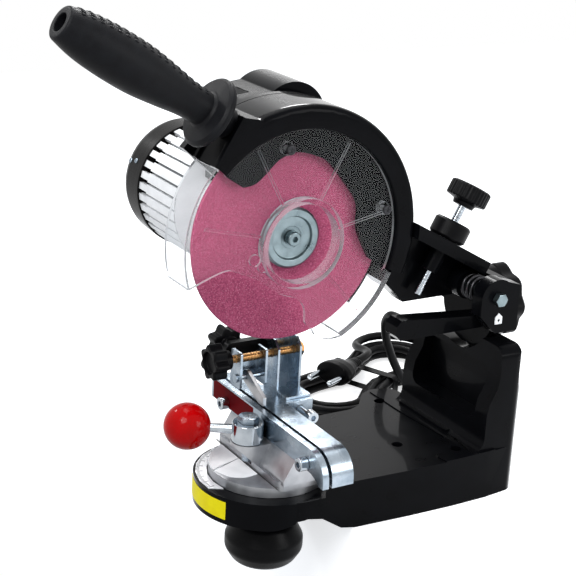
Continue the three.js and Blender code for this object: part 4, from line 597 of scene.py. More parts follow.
def makeAroundTree():
    tree, start, end = newTree("aroundAxis", [
        ("Count", "Int", 8), ("Step", "Vector", (0.0, 0.0, 0.0)), ("Pivot", "Vector", (0.0, 0.0, 0.0)),
        ("Finish", "Material", None),
    ])
    points = tree.nodes.new("GeometryNodePoints")
    link(tree, start.outputs["Count"], points.inputs["Count"])
    copies = tree.nodes.new("GeometryNodeInstanceOnPoints")
    link(tree, points.outputs["Points" if "Points" in points.outputs else 0], copies.inputs["Points"])
    link(tree, start.outputs["Geometry"], copies.inputs["Instance"])
    index = tree.nodes.new("GeometryNodeInputIndex")
    angle = tree.nodes.new("ShaderNodeVectorMath")
    angle.operation = "SCALE"
    link(tree, start.outputs["Step"], angle.inputs[0])
    link(tree, index.outputs["Index"], angle.inputs["Scale"])
    turn = tree.nodes.new("GeometryNodeRotateInstances")
    turn.inputs["Local Space"].default_value = False
    link(tree, copies.outputs["Instances"], turn.inputs["Instances"])
    link(tree, angle.outputs["Vector"], turn.inputs["Rotation"])
    link(tree, start.outputs["Pivot"], turn.inputs["Pivot Point"])
    closeTree(tree, start, end, turn.outputs["Instances"])
    return tree


def makeAlongTree():
    tree, start, end = newTree("alongLine", [
        ("Count", "Int", 8), ("Offset", "Vector", (0.0, 0.0, 0.0)), ("Finish", "Material", None),
    ])
    line = tree.nodes.new("GeometryNodeMeshLine")
    link(tree, start.outputs["Count"], line.inputs["Count"])
    link(tree, start.outputs["Offset"], line.inputs["Offset"])
    copies = tree.nodes.new("GeometryNodeInstanceOnPoints")
    link(tree, line.outputs["Mesh"], copies.inputs["Points"])
    link(tree, start.outputs["Geometry"], copies.inputs["Instance"])
    closeTree(tree, start, end, copies.outputs["Instances"])
    return tree


def makeCoilTree():
    tree, start, end = newTree("coil", [
        ("Turns", "Float", 4.0), ("Radius", "Float", 3.0), ("Length", "Float", 10.0),
        ("Wire", "Float", 0.4), ("Steps", "Int", 24), ("Sides", "Int", 8), ("Left", "Bool", False),
        ("Finish", "Material", None),
    ])
    spiral = tree.nodes.new("GeometryNodeCurveSpiral")
    link(tree, start.outputs["Steps"], spiral.inputs["Resolution"])
    link(tree, start.outputs["Turns"], spiral.inputs["Rotations"])
    link(tree, start.outputs["Radius"], spiral.inputs["Start Radius"])
    link(tree, start.outputs["Radius"], spiral.inputs["End Radius"])
    link(tree, start.outputs["Length"], spiral.inputs["Height"])
    link(tree, start.outputs["Left"], spiral.inputs["Reverse"])
    ring = tree.nodes.new("GeometryNodeCurvePrimitiveCircle")
    link(tree, start.outputs["Sides"], ring.inputs["Resolution"])
    link(tree, start.outputs["Wire"], ring.inputs["Radius"])
    sweep = tree.nodes.new("GeometryNodeCurveToMesh")
    sweep.inputs["Fill Caps"].default_value = True
    link(tree, spiral.outputs["Curve"], sweep.inputs["Curve"])
    link(tree, ring.outputs["Curve"], sweep.inputs["Profile Curve"])
    closeTree(tree, start, end, sweep.outputs["Mesh"])
    return tree


trees = {"around": makeAroundTree(), "along": makeAlongTree(), "coil": makeCoilTree()}


def grow(piece, treeName, finish, **values):
    tree = trees[treeName]
    step = piece.modifiers.new(treeName, "NODES")
    step.node_group = tree
    values["Finish"] = finishes[finish]
    for item in tree.interface.items_tree:
        if item.in_out == "INPUT" and item.name in values:
            step[item.identifier] = values[item.name]
    return settle(piece)


def around(piece, count, finish, pivot=wheelAxis, axis="x", sweep=360.0):
    spin = math.radians(sweep / count)
    step = {"x": (spin, 0, 0), "y": (0, -spin, 0), "z": (0, 0, spin)}[axis]
    return grow(
        piece, "around", finish, Count=count, Step=step, Pivot=place(axis, *pivot, 0.0),
    )


def along(piece, count, offset, finish):
    return grow(piece, "along", finish, Count=count, Offset=offset)


def coil(axis, radius, wire, span, turns, at, finish, steps=24, sides=8, left=False):
    piece = newPiece("coil", bpy.data.meshes.new("coil"))
    length = span[1] - span[0]
    grow(
        piece, "coil", finish, Turns=float(turns), Radius=radius, Length=length, Wire=wire,
        Steps=steps, Sides=sides, Left=left,
    )
    turn = {"x": Matrix.Rotation(math.pi / 2, 4, "Y"), "y": Matrix.Rotation(-math.pi / 2, 4, "X")}
    piece.data.transform(turn.get(axis, Matrix.Identity(4)))
    piece.data.transform(Matrix.Translation(Vector(place(axis, *at, span[0]))))
    return piece


print("trees made:", len(trees))


def aboutWheel(radius, angle):
    spot = math.radians(angle)
    return (wheel["y"] + radius * math.cos(spot), wheel["z"] + radius * math.sin(spot))


def arcAboutWheel(radius, start, end, steps):
    return [aboutWheel(radius, start + (end - start) * i / steps) for i in range(steps + 1)]


def splineThrough(points, steps=8):
    made = []
    last = len(points) - 1
    for i in range(last):
        p0, p1 = points[max(i - 1, 0)], points[i]
        p2, p3 = points[i + 1], points[min(i + 2, last)]
        for k in range(steps):
            t = k / steps
            made.append(tuple(
                b + (c - a) / 2 * t
                + (3 * (c - b) - (c - a) - (d - b) / 2) * t * t
                + (2 * (b - c) + (c - a) / 2 + (d - b) / 2) * t ** 3
                for a, b, c, d in zip(p0, p1, p2, p3)
            ))
    made.append(tuple(points[last]))
    return made


cord = {
    "diameter": 7.0, "steps": 6,
    "route": [
        (-85.3, 168, 88), (-93, 168, 88), (-101, 168.5, 86), (-110, 171, 77),
        (-115.5, 177, 60), (-118, 187, 39), (-120, 199, 20), (-123, 210.5, 8),
        (-128, 220.5, 4), (-133.7, 232.6, 3.6), (-140.6, 248.1, 3.6),
    ],
}
hank = {
    "at": (-155, 185), "turn": 114, "run": 104, "inner": 22, "spacing": 8.4, "layer": 7.5,
    "floor": 3.6, "loops": 4 + 1 / 3, "spiral": 2, "waist": 12, "rise": 1.4,
    "tailEnd": (-12, 0, 27.3), "tailPull": 34, "loopSteps": 36, "tailSteps": 14,
}


def smoothStep(s, low, high):
    t = min(max((s - low) / (high - low), 0), 1)
    return t * t * (3 - 2 * t)


def hankPoint(s):
    phase = s - math.floor(s)
    end = hank["run"] / 2
    spiral = hank["spiral"]
    turns = abs(s - spiral) if s <= 2 * spiral else 3 * spiral - s
    r = hank["inner"] + hank["spacing"] * turns
    level = smoothStep(s, spiral - 0.25, spiral + 0.25)
    level += smoothStep(s, 2 * spiral - 1 / 6, 2 * spiral + 1 / 3)
    z = hank["floor"] + hank["layer"] * level

    def drawn(t):
        return math.sin(math.pi * t) ** 2

    if phase < 1 / 3:
        angle = (3 * phase - 0.5) * math.pi
        return Vector((end + r * math.cos(angle), r * math.sin(angle), z))
    if phase < 1 / 2:
        t = 6 * (phase - 1 / 3)
        return Vector((
            end - hank["run"] * t, r - hank["waist"] * drawn(t), z + hank["rise"] * drawn(t),
        ))
    if phase < 5 / 6:
        angle = (3 * phase - 1) * math.pi
        return Vector((-end + r * math.cos(angle), r * math.sin(angle), z))
    t = 6 * (phase - 5 / 6)
    return Vector((
        -end + hank["run"] * t, -r + hank["waist"] * drawn(t), z + hank["rise"] * drawn(t),
    ))


def hankPath():
    count = round(hank["loops"] * hank["loopSteps"])
    points = [hankPoint(i / hank["loopSteps"]) for i in range(count + 1)]
    start = points[-1]
    last = Vector(hank["tailEnd"])
    end = last + Vector((cord["diameter"], 0, 0))
    pull = Vector((hank["tailPull"], 0, 0))
    for i in range(1, hank["tailSteps"] + 1):
        t = i / hank["tailSteps"]
        points.append(
            (1 - t) ** 3 * start + 3 * t * (1 - t) ** 2 * (start - pull)
            + 3 * t * t * (1 - t) * (end + pull) + t ** 3 * end
        )
    points.append(last)
    return points


hankPlace = (
    Matrix.Translation(Vector((*hank["at"], 0))) @ Matrix.Rotation(math.radians(hank["turn"]), 4, "Z")
)


def centripetal(points, steps):
    points = [Vector(p) for p in points]
    points = [2 * points[0] - points[1]] + points + [2 * points[-1] - points[-2]]
    made = []
    for p0, p1, p2, p3 in zip(points, points[1:], points[2:], points[3:]):
        d0, d1, d2 = (max((b - a).length ** 0.5, 1e-4) for a, b in ((p0, p1), (p1, p2), (p2, p3)))
        m1 = ((p1 - p0) / d0 - (p2 - p0) / (d0 + d1) + (p2 - p1) / d1) * d1
        m2 = ((p2 - p1) / d1 - (p3 - p1) / (d1 + d2) + (p3 - p2) / d2) * d1
        for k in range(steps):
            t = k / steps
            made.append(
                (2 * t ** 3 - 3 * t * t + 1) * p1 + (t ** 3 - 2 * t * t + t) * m1
                + (3 * t * t - 2 * t ** 3) * p2 + (t ** 3 - t * t) * m2
            )
    made.append(points[-2])
    return made


def makeCord():
    path = centripetal(cord["route"], cord["steps"])[:-1]
    path += [hankPlace @ p for p in hankPath()]
    path = [toFrame @ p for p in path]
    curve = bpy.data.curves.new("mainsCord", "CURVE")
    curve.dimensions = "3D"
    curve.bevel_depth = cord["diameter"] / 2000
    curve.bevel_resolution = 5
    curve.use_fill_caps = True
    line = curve.splines.new("POLY")
    line.points.add(len(path) - 1)
    for point, spot in zip(line.points, path):
        point.co = (*spot, 1)
    line.use_smooth = True
    curve.materials.append(finishes["moulded_black"])
    piece = newPiece("mainsCord", curve)
    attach(piece, "base")
    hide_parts("cord", "cord_hank")
    length = sum((b - a).length for a, b in zip(path, path[1:]))
    print("cord length", round(length, 4))
    return piece, path[0], length


plug = {
    "entry": 5, "wide": 16, "grip": 12, "length": 38, "flat": 0.62, "pin": 2.4, "pinLong": 19,
    "spacing": 19, "seat": 6, "grooves": 3, "grooveIn": 0.6, "grooveOut": 4, "grooveWide": 1.1,
    "grooveFlat": 0.75, "grooveAt": 3.2, "grooveStep": 2.6,
}


def makePlug():
    x, y, z = hank["tailEnd"]
    tip = x - seatGap
    front = tip - plug["length"]
    wide, grip = plug["wide"], plug["grip"]
    profile = filleted([
        (0, tip), (plug["entry"], tip, 1), (plug["entry"] + 2, tip - grip, 6),
        (wide - 2, tip - 2 * grip, 5), (wide, front + plug["seat"], 4), (wide, front, 2.2), (0, front),
    ], 1, steps=5)
    body = turned("x", profile, sides=56)
    body.data.transform(Matrix.Diagonal((1, 1, plug["flat"], 1)))
    low, high = plug["entry"] - plug["grooveIn"], plug["entry"] + plug["grooveOut"]
    groove = turned("x", filleted([
        (low, 0.0), (high, 0.0), (high, plug["grooveWide"]), (low, plug["grooveWide"]),
    ], 0.2, closed=True), sides=40, closed=True)
    groove.data.transform(Matrix.Diagonal((1, 1, plug["grooveFlat"], 1)))
    groove.data.transform(Matrix.Translation(Vector((tip - plug["grooveAt"], 0, 0))))
    grooves = along(groove, plug["grooves"], (-plug["grooveStep"], 0, 0), "moulded_black")
    cut(body, grooves)
    body.data.transform(hankPlace @ Matrix.Translation(Vector((0, y, z))))
    easeEdges(body, 0.2)
    pieces = [dress(body, "plugBody", "base", "moulded_black", replaces=["plug_body"])]
    for i, side in enumerate((-1, 1)):
        at = (y + side * plug["spacing"] / 2, z)
        pin = turned("x", filleted([
            (0, front - plug["pinLong"]), (plug["pin"], front - plug["pinLong"], 1.6),
            (plug["pin"], front + plug["seat"]), (0, front + plug["seat"]),
        ], 0.1), at, 28)
        pin.data.transform(hankPlace)
        pieces.append(dress(
            pin, f"plugPin{i + 1}", "base", "chrome_plate", replaces=[f"plug_pin_{i + 1}"],
        ))
    return pieces


def makeTie():
    tie = easeEdges(nodeCopy("cord_tie"), 0.35)
    return dress(tie, "cordTie", "base", "moulded_black", replaces=["cord_tie"])


gland = {
    "at": (168, 88), "wall": -52, "neck": 6, "inside": 8, "collar": 9, "collarThick": 3,
    "root": 6.5, "tip": 4.6, "rings": 6, "ringDips": ((0.35, 0.0), (0.5, 0.9), (0.8, 0.9), (0.95, 0.0)),
}


def makeGland():
    wall = gland["wall"]
    face = wall - seatGap
    end = cord["route"][0][0] + seatGap
    collarEnd = face - gland["collarThick"]
    sleeve = [(gland["root"], collarEnd, 0.8)]
    for i in range(gland["rings"]):
        for share, dip in gland["ringDips"]:
            t = (i + share) / gland["rings"]
            radius = gland["root"] + (gland["tip"] - gland["root"]) * t - dip
            sleeve.append((radius, collarEnd + (end - collarEnd) * t, 0.2))
    profile = filleted([
        (0, wall + gland["inside"]), (gland["neck"], wall + gland["inside"]),
        (gland["neck"], face), (gland["collar"], face, 0.6), (gland["collar"], collarEnd, 0.9),
        *sleeve, (gland["tip"], end, 0.5), (0, end),
    ], 0.3, steps=3)
    relief = turned("x", profile, gland["at"], 40)
    return dress(relief, "cordGland", "base", "rubber_black", replaces=["cord_gland"])


mainsCord, cordExit, cordLength = makeCord()
cordPieces = [*makePlug(), makeTie()]
makeGland()
print("cord laid")


# The shallow cast step of the deck in front of the column.
pad = {
    "low": 34, "top": 36, "high": 0.9,
    "outline": (
        (-75, 134.6), (-24, 135), (21, 138.4), (30.5, 129.5), (41.5, 115.6), (45.5, 113.8), (80, 120),
        (80, 160), (-75, 160),
    ),
}


base = {
    "nose": 52, "low": 9, "top": 28.5, "reach": 60,
    "under": ((-24, 9), (-18, 9.6), (-12, 11.2), (-6, 13.4)),
    "boss": 28, "bossSpan": (172, 183), "stud": 5.3, "studSpan": (170, 185),
    "bolt": 6.3, "boltSpan": (0, 40), "pocket": 16, "pocketSpan": (0, 15), "round": 1.3,
}


def makeBase():
    casting = nodeCopy("base_casting")
    low, top, reach = base["low"], base["top"], base["reach"]
    nose = rod("z", base["nose"], (low, top), sides=180)
    noseEnd = base["under"][-1][0]
    half = plate("x", [
        (-reach, low), *base["under"], (noseEnd, top), (-reach, top),
    ], (-reach, reach))
    combine("INTERSECT", nose, [half])
    boss = rod("y", base["boss"], base["bossSpan"], tiltAt, 120)
    join(casting, nose, boss)
    cut(
        casting, rod("z", base["bolt"], base["boltSpan"], sides=48),
        rod("z", base["pocket"], base["pocketSpan"], sides=48),
        rod("y", base["stud"], base["studSpan"], tiltAt, 48),
    )
    easeEdges(casting, base["round"], 3, 30)
    raised = Matrix.Translation(Vector((0, 0, pad["high"])))
    step = plate("z", filleted(pad["outline"], 3, True), (pad["low"], pad["top"] + pad["high"]))
    combine("INTERSECT", step, [moved(nodeCopy("base_casting"), raised)])
    join(casting, easeEdges(step, 0.4, 2, 40))
    return dress(casting, "baseCasting", "base", "black_casting", replaces=["base_casting"])


makeBase()

scale = {
    "outer": 50.5, "low": 28.5, "thick": 0.8, "start": 157, "margin": 0.8, "halfWide": 0.24,
    "sunk": 0.1, "proud": 0.08, "marks": ((61, 122, 2.2), (13, 130, 4.4)),
}


def makeScale():
    body = easeEdges(nodeCopy("scale_plate"), 0.15)
    dress(body, "scalePlate", "base", "scale_silver", replaces=["scale_plate"])
    top = scale["low"] + scale["thick"]
    reach = scale["outer"] - scale["margin"]
    half = scale["halfWide"]
    marks = []
    for count, sweep, length in scale["marks"]:
        tick = block((reach - length, reach), (-half, half), (top - scale["sunk"], top + scale["proud"]))
        tick.data.transform(Matrix.Rotation(math.radians(scale["start"]), 4, "Z"))
        marks.append(around(tick, count, "mark_black", (0, 0), "z", sweep))
    dress(gather(marks), "scaleMarks", "base", "mark_black")


makeScale()
print("base made")


eased = {
    "vise_turntable": (0.7, "cast_grey"), "swivel_bolt": (0.4, "zinc_plate"),
    "lock_washer": (0.3, "zinc_plate"), "far_jaw": (0.5, "zinc_plate"),
    "near_jaw": (0.5, "zinc_plate"), "stop_bracket": (0.35, "zinc_plate"),
    "stop_carriage": (0.3, "zinc_plate"), "chain_pawl": (0.35, "bare_steel"),
    "stop_side_arm": (0.5, "moulded_black"), "tilt_yoke": (1.0, "black_casting"),
    "tilt_stud": (0.5, "zinc_plate"), "head_arm": (1.2, "black_casting"),
    "motor_bell": (0.5, "silver_casting"), "stator": (0.4, "bare_steel"),
    "front_bearing": (0.4, "bare_steel"), "rear_bearing": (0.4, "bare_steel"),
    "inner_flange": (0.3, "zinc_plate"), "motor_shaft": (0.3, "bare_steel"),
    "rotor": (0.3, "bare_steel"), "cooling_fan": (0.2, "moulded_black"),
    "rocker_switch": (0.5, "moulded_black"),
}


def pieceName(node):
    first, *rest = node.split("_")
    return first + "".join(word.capitalize() for word in rest)


arm = {
    "rim": ((60, -26), (92, -26), (92, -20), (60, -20)), "sweep": 183, "from": -44,
    "boss": ((0, -8), (6, -8), (6, -25, 1), (0, -25)), "bore": 3.3, "boreSpan": (-30, 2),
    "hole": 2.8, "holeSpan": (-28, -18), "holeAt": 82, "holeAngles": (36, 112), "back": -26.3,
}


# The arm's plate gets a fine rim, and a boss for the depth screw under its flange.
def finishArm(piece):
    rim = turned("x", arm["rim"], wheelAxis, arm["sweep"], True, arm["sweep"], arm["from"])
    boss = turned("z", filleted(arm["boss"], 0), sides=48)
    join(piece, rim, moved(boss, depthPlace))
    cut(
        piece, moved(rod("z", arm["bore"], arm["boreSpan"]), depthPlace),
        *[
            rod("x", arm["hole"], arm["holeSpan"], aboutWheel(arm["holeAt"], angle))
            for angle in arm["holeAngles"]
        ],
    )


# The photo's jaws end sooner than the solids', and the near one has no flange at its left.
jawEnds = {
    "nodes": ("near_jaw", "far_jaw"),
    "trims": (
        ((-100, -74), (-30, 30), (50, 80)), ((-100, -40), (-30, -6), (58, 70)),
        ((60, 90), (-30, 30), (30, 52)),
    ),
}


# Fine rounds laid over the solids' coarser ones, and the bores drilled through them again.
rounds = {
    "tilt_yoke": {
        "rods": [
            ("x", 14, (37, 48), hingeAt), ("x", 14, (-48, -37), hingeAt),
            ("y", 30, (165, 171.7), tiltAt),
        ],
        "bores": [("x", 4.3, (-50, 50), hingeAt), ("y", 5.3, (168, 174), tiltAt)],
    },
    "head_arm": {
        "rods": [("x", 11, (-36, 14), hingeAt)],
        "bores": [("x", 4.3, (-40, 20), hingeAt)],
    },
    "vise_turntable": {
        "rods": [("z", 41.6, (28.8, 36), (0, 0))],
        "bores": [("z", 6.3, (26, 40.9), (0, 0))],
    },
}

for node, (width, finish) in eased.items():
    piece = nodeCopy(node)
    if node in rounds:
        join(piece, *[rod(*row, 120) for row in rounds[node]["rods"]])
        cut(piece, *[rod(*row, 48) for row in rounds[node]["bores"]])
    if node == "head_arm":
        finishArm(piece)
    if node in jawEnds["nodes"]:
        cut(piece, *[block(*row) for row in jawEnds["trims"]])
    easeEdges(piece, width)
    dress(piece, pieceName(node), nodeBody[node], finish, replaces=[node])
print("eased pieces made:", len(eased))


lobeShares = (0.6, 0.95)


# Draws a knob's rim in between its lobes.
def lobed(piece, axis, at, radius, count, depth):
    first, second = {"x": (1, 2), "y": (0, 2), "z": (0, 1)}[axis]
    for vertex in piece.data.vertices:
        u = vertex.co[first] - at[0]
        v = vertex.co[second] - at[1]
        reach = math.hypot(u, v)
        share = smoothStep(reach / radius, *lobeShares)
        if share > 0:
            dip = depth / 2 * (1 - math.cos(count * math.atan2(v, u))) * share
            vertex.co[first] -= u / reach * dip
            vertex.co[second] -= v / reach * dip
    return piece


# A hexagon with its corners turned off at its free end, which is the second of the span.
def boltHead(axis, flats, span, at, chamfer=0.8):
    corner = flats / math.sqrt(3)
    inward = chamfer if span[1] > span[0] else -chamfer
    cone = turned(axis, [
        (0, span[0]), (corner + seatGap, span[0]), (corner + seatGap, span[1] - inward),
        (corner - 1.6 * chamfer, span[1]), (0, span[1]),
    ], at, 48)
    return combine("INTERSECT", hexagon(axis, flats, span, at), [cone])


# A round head with a hexagon socket, and its shank; the head's free end is head[1].
def socketScrew(axis, at, shank, shankEnd, radius, head, socket, deep, round=0.6):
    out = 1 if head[1] > head[0] else -1
    profile = filleted([
        (0, shankEnd), (shank, shankEnd, 0.4), (shank, head[0]), (radius, head[0], 0.2),
        (radius, head[1], round), (0, head[1]),
    ], 0, steps=4)
    screw = turned(axis, profile, at, 48)
    hole = hexagon(axis, socket, (head[1] - out * deep, head[1] + out * overrun), at)
    return cut(screw, hole)


def threadOn(piece, axis, radius, span, at, finish, pitch=1.25):
    ridge = coil(axis, radius - 0.1, 0.3, span, (span[1] - span[0]) / pitch, at, finish, 20, 6)
    return gather([piece, ridge])


guard = {
    "outer": 92, "wall": 3, "band": 76, "x": (-19.7, 18), "face": (5, 8), "low": -21, "high": 139,
    "wedge": 3, "lip": 5.5, "post": 5, "hole": 2.8, "holeDeep": 8.3, "studRoom": -11,
    "screw": {"shank": 2.5, "deep": 8, "radius": 4.6, "high": 3, "socket": 4, "socketDeep": 2},
    "edgeShares": (
        (-19, 0.7), (0, 0.545), (20, 0.565), (35, 0.555), (64, 0.598), (77, 0.62),
        (91, 0.641), (104, 0.62), (118, 0.565), (126, 0.555), (132, 0.577), (136, 0.61),
    ),
}
seat = {"x": (-14, 18), "up": 8, "down": 28.4, "rib": 4, "ribHigh": 2, "angles": (111, 124, 137)}
grip = {
    "foot": (2, -43, 281), "lean": 58.9, "neck": 10, "neckEnd": 7.8, "flange": 23.5,
    "flangeEnd": 19.8, "waist": 11.3, "belly": 16.5, "bellyAt": 84, "tip": 11, "length": 132.5,
    "hole": 6, "holeDeep": 18, "stud": 4, "root": -10.7,
    "rows": 17, "bumps": 7, "sweep": 84, "bumpSize": (0.75, 1.1, 2.0), "bumpSunk": 0.1, "bumpMargin": 8,
    "swellShares": ((0.25, 0.08), (0.5, 0.5), (0.78, 0.9)), "tipShares": ((0.35, 0.08), (0.7, 0.4)),
}
coverScrews = {"places": ((64, 99.6), (69.5, 12.6)), "radius": 1.6, "head": 3.4, "high": 2,
               "slot": (2.0, 0.35), "slotDeep": 0.9}


def besideHandle(up, out):
    lean = math.radians(grip["lean"])
    return (
        grip["foot"][1] + up * math.cos(lean) - out * math.sin(lean),
        grip["foot"][2] + up * math.sin(lean) + out * math.cos(lean),
    )


def sweptBand(section, low, high):
    return turned("x", section, wheelAxis, round(high - low), True, high - low, low)


def makeGuard():
    outer, wall, band, lip = (guard[key] for key in ("outer", "wall", "band", "lip"))
    back, front = guard["x"]
    faceBack, faceFront = guard["face"]
    low, high = guard["low"], guard["high"]
    shell = sweptBand(filleted([
        (outer, back, 0.9), (outer, front, lip), (band, front, 1.8), (band, faceBack),
        (band + wall, faceBack), (band + wall, front - wall, 1.5),
        (outer - wall, front - wall, 3), (outer - wall, back, 0.9),
    ], 0, True, 6), low, high)
    edge = [aboutWheel(outer * share, angle) for angle, share in guard["edgeShares"]]
    middle = band + wall / 2
    outline = splineThrough(edge, 10) + [aboutWheel(band, high)] + arcAboutWheel(middle, high, low, 160)
    face = easeEdges(plate("x", outline, (faceBack, faceFront)), 1.0, 3, 40)
    wedgeSection = filleted([
        (band, faceBack), (outer, faceBack), (outer, front, lip), (band, front, 1.8),
    ], 0, True, 6)
    wedges = [
        sweptBand(wedgeSection, *span)
        for span in ((high - guard["wedge"], high), (low, low + guard["wedge"]))
    ]
    spots = [aboutWheel(arm["holeAt"], angle) for angle in arm["holeAngles"]]
    posts = [rod("x", guard["post"], (back, front - wall / 2), at) for at in spots]
    upper, middleAngle, lower = seat["angles"]
    seatBlock = plate("x", [
        besideHandle(seat["up"], 0), aboutWheel(outer - wall / 2, upper),
        aboutWheel(band + wall, middleAngle), aboutWheel(band + wall, lower),
        besideHandle(-seat["down"], 0),
    ], seat["x"])
    join(shell, face, *wedges, *posts, seatBlock)
    beyond = plate("x", [
        besideHandle(-outer, 0), besideHandle(outer, 0), besideHandle(outer, outer),
        besideHandle(-outer, outer),
    ], (back - overrun, front + overrun))
    cut(shell, beyond)
    ribOutline = [
        besideHandle(seat["up"], -overrun), besideHandle(seat["up"], seat["ribHigh"]),
        besideHandle(-seat["down"], seat["ribHigh"]), besideHandle(-seat["down"], -overrun),
    ]
    left, right = seat["x"]
    ribs = [
        easeEdges(plate("x", ribOutline, span), 0.5)
        for span in ((left, left + seat["rib"]), (right - seat["rib"], right))
    ]
    join(shell, *ribs)
    holes = [rod("x", guard["hole"], (back - overrun, back + guard["holeDeep"]), at) for at in spots]
    through = (faceBack - overrun, faceFront + overrun)
    holes += [
        rod("x", coverScrews["radius"] + seatGap, through, aboutWheel(*place))
        for place in coverScrews["places"]
    ]
    handleHole = rod("z", grip["stud"] + seatGap, (guard["studRoom"], overrun))
    holes.append(moved(handleHole, handlePlace))
    cut(shell, *holes)
    easeEdges(shell, 0.45, 2, 40)
    dress(shell, "wheelGuard", "head", "black_casting", replaces=["wheel_guard"])
    sizes = guard["screw"]
    under = arm["back"] - seatGap
    for i, at in enumerate(spots):
        screw = socketScrew(
            "x", at, sizes["shank"], back + sizes["deep"], sizes["radius"],
            (under, under - sizes["high"]), sizes["socket"], sizes["socketDeep"],
        )
        dress(screw, f"guardScrew{i + 1}", "head", "zinc_plate", replaces=[f"guard_screw_{i + 1}"])


def gripProfile():
    waist, belly, tip = grip["waist"], grip["belly"], grip["tip"]
    start = grip["flangeEnd"] + overrun
    swell = [
        (grip["flangeEnd"] + (grip["bellyAt"] - grip["flangeEnd"]) * along, waist + (belly - waist) * share)
        for along, share in grip["swellShares"]
    ]
    narrowing = [
        (grip["bellyAt"] + (grip["length"] - grip["bellyAt"]) * along, belly - (belly - tip) * share)
        for along, share in grip["tipShares"]
    ]
    points = [(start, waist), *swell, (grip["bellyAt"], belly), *narrowing, (grip["length"], tip)]
    return [(radius, along) for along, radius in splineThrough(points, 6)]


def gripRadius(profile, z):
    for (r0, z0), (r1, z1) in zip(profile, profile[1:]):
        if z0 <= z <= z1:
            return r0 + (r1 - r0) * (z - z0) / (z1 - z0)
    return profile[-1][0]


def makeHandle():
    body = gripProfile()
    floor = grip["length"] - grip["holeDeep"]
    flange, end = grip["flange"], grip["flangeEnd"]
    lower = filleted([
        (0, grip["root"]), (grip["stud"], grip["root"], 0.8), (grip["stud"], seatGap),
        (grip["neck"], seatGap, 0.6), (grip["neck"], grip["neckEnd"] + 1.4, 3),
        (flange - 3, grip["neckEnd"] + 4.2, 1.5), (flange, grip["neckEnd"] + 6, 2.0),
        (flange, end - 3, 2.0), (flange - 2, end - 1, 1), (grip["waist"] + 1.4, end + 0.4, 3),
        (grip["waist"], end + overrun, 1.0), body[1],
    ], 0, steps=6)
    upper = filleted([
        body[-3], (grip["tip"], grip["length"], 2.4), (grip["hole"], grip["length"], 0.8),
        (grip["hole"], floor), (0, floor),
    ], 0, steps=5)
    handle = turned("z", lower[:-1] + body[1:-3] + upper, sides=72)
    tops = []
    bumps, sweep = grip["bumps"], grip["sweep"]
    step = sweep / bumps
    first = Matrix.Rotation(math.radians(90 - sweep / 2 + step / 2), 4, "Z")
    low, high = grip["flangeEnd"] + grip["bumpMargin"], grip["length"] - grip["bumpMargin"]
    for row in range(grip["rows"]):
        z = low + (high - low) * row / (grip["rows"] - 1)
        ball = bmesh.new()
        bmesh.ops.create_icosphere(ball, subdivisions=1, radius=1.0)
        mesh = bpy.data.meshes.new("bump")
        ball.to_mesh(mesh)
        ball.free()
        spot = Vector((gripRadius(body, z) - grip["bumpSunk"], 0, z))
        mesh.transform(first @ Matrix.Translation(spot) @ Matrix.Diagonal((*grip["bumpSize"], 1)))
        tops.append(around(newPiece("bump", mesh), bumps, "rubber_black", (0, 0), "z", sweep))
    handle = moved(gather([handle, *tops]), handlePlace)
    dress(handle, "handleGrip", "head", "rubber_black", replaces=["handle_grip"])


handlePlace = (
    Matrix.Translation(Vector(grip["foot"])) @ Matrix.Rotation(math.radians(grip["lean"]), 4, "X")
)
makeGuard()
makeHandle()
print("guard and handle made")

cover = {
    "face": (12, 15), "rim": -14, "outer": 84.5, "to": 196, "lobe": 82, "lobeFrom": -22.5,
    "lobeTo": -62, "wall": 2.5, "collar": (27, 31), "collarFront": 22, "ribHigh": 1.3, "ribWide": 1.6,
    "ribSunk": 0.6, "ribIn": 0.8, "ribOut": 3,
    "ribAngles": (167, 141, 118, 62, 12, -22, -48), "stubs": ((35, 194), (30.5, 206)),
    "stub": 4, "stubFront": 18, "post": 4.5, "high": 139.37, "low": -21.37, "inner": 75.4,
    "edgeShares": (
        (294, 0.871), (290, 0.842), (284.4, 0.78), (282.4, 0.708), (278.4, 0.642), (278.6, 0.53),
        (272, 0.44), (248, 0.405), (220, 0.405), (200, 0.516), (194.4, 0.625), (196, 0.9),
    ),
}


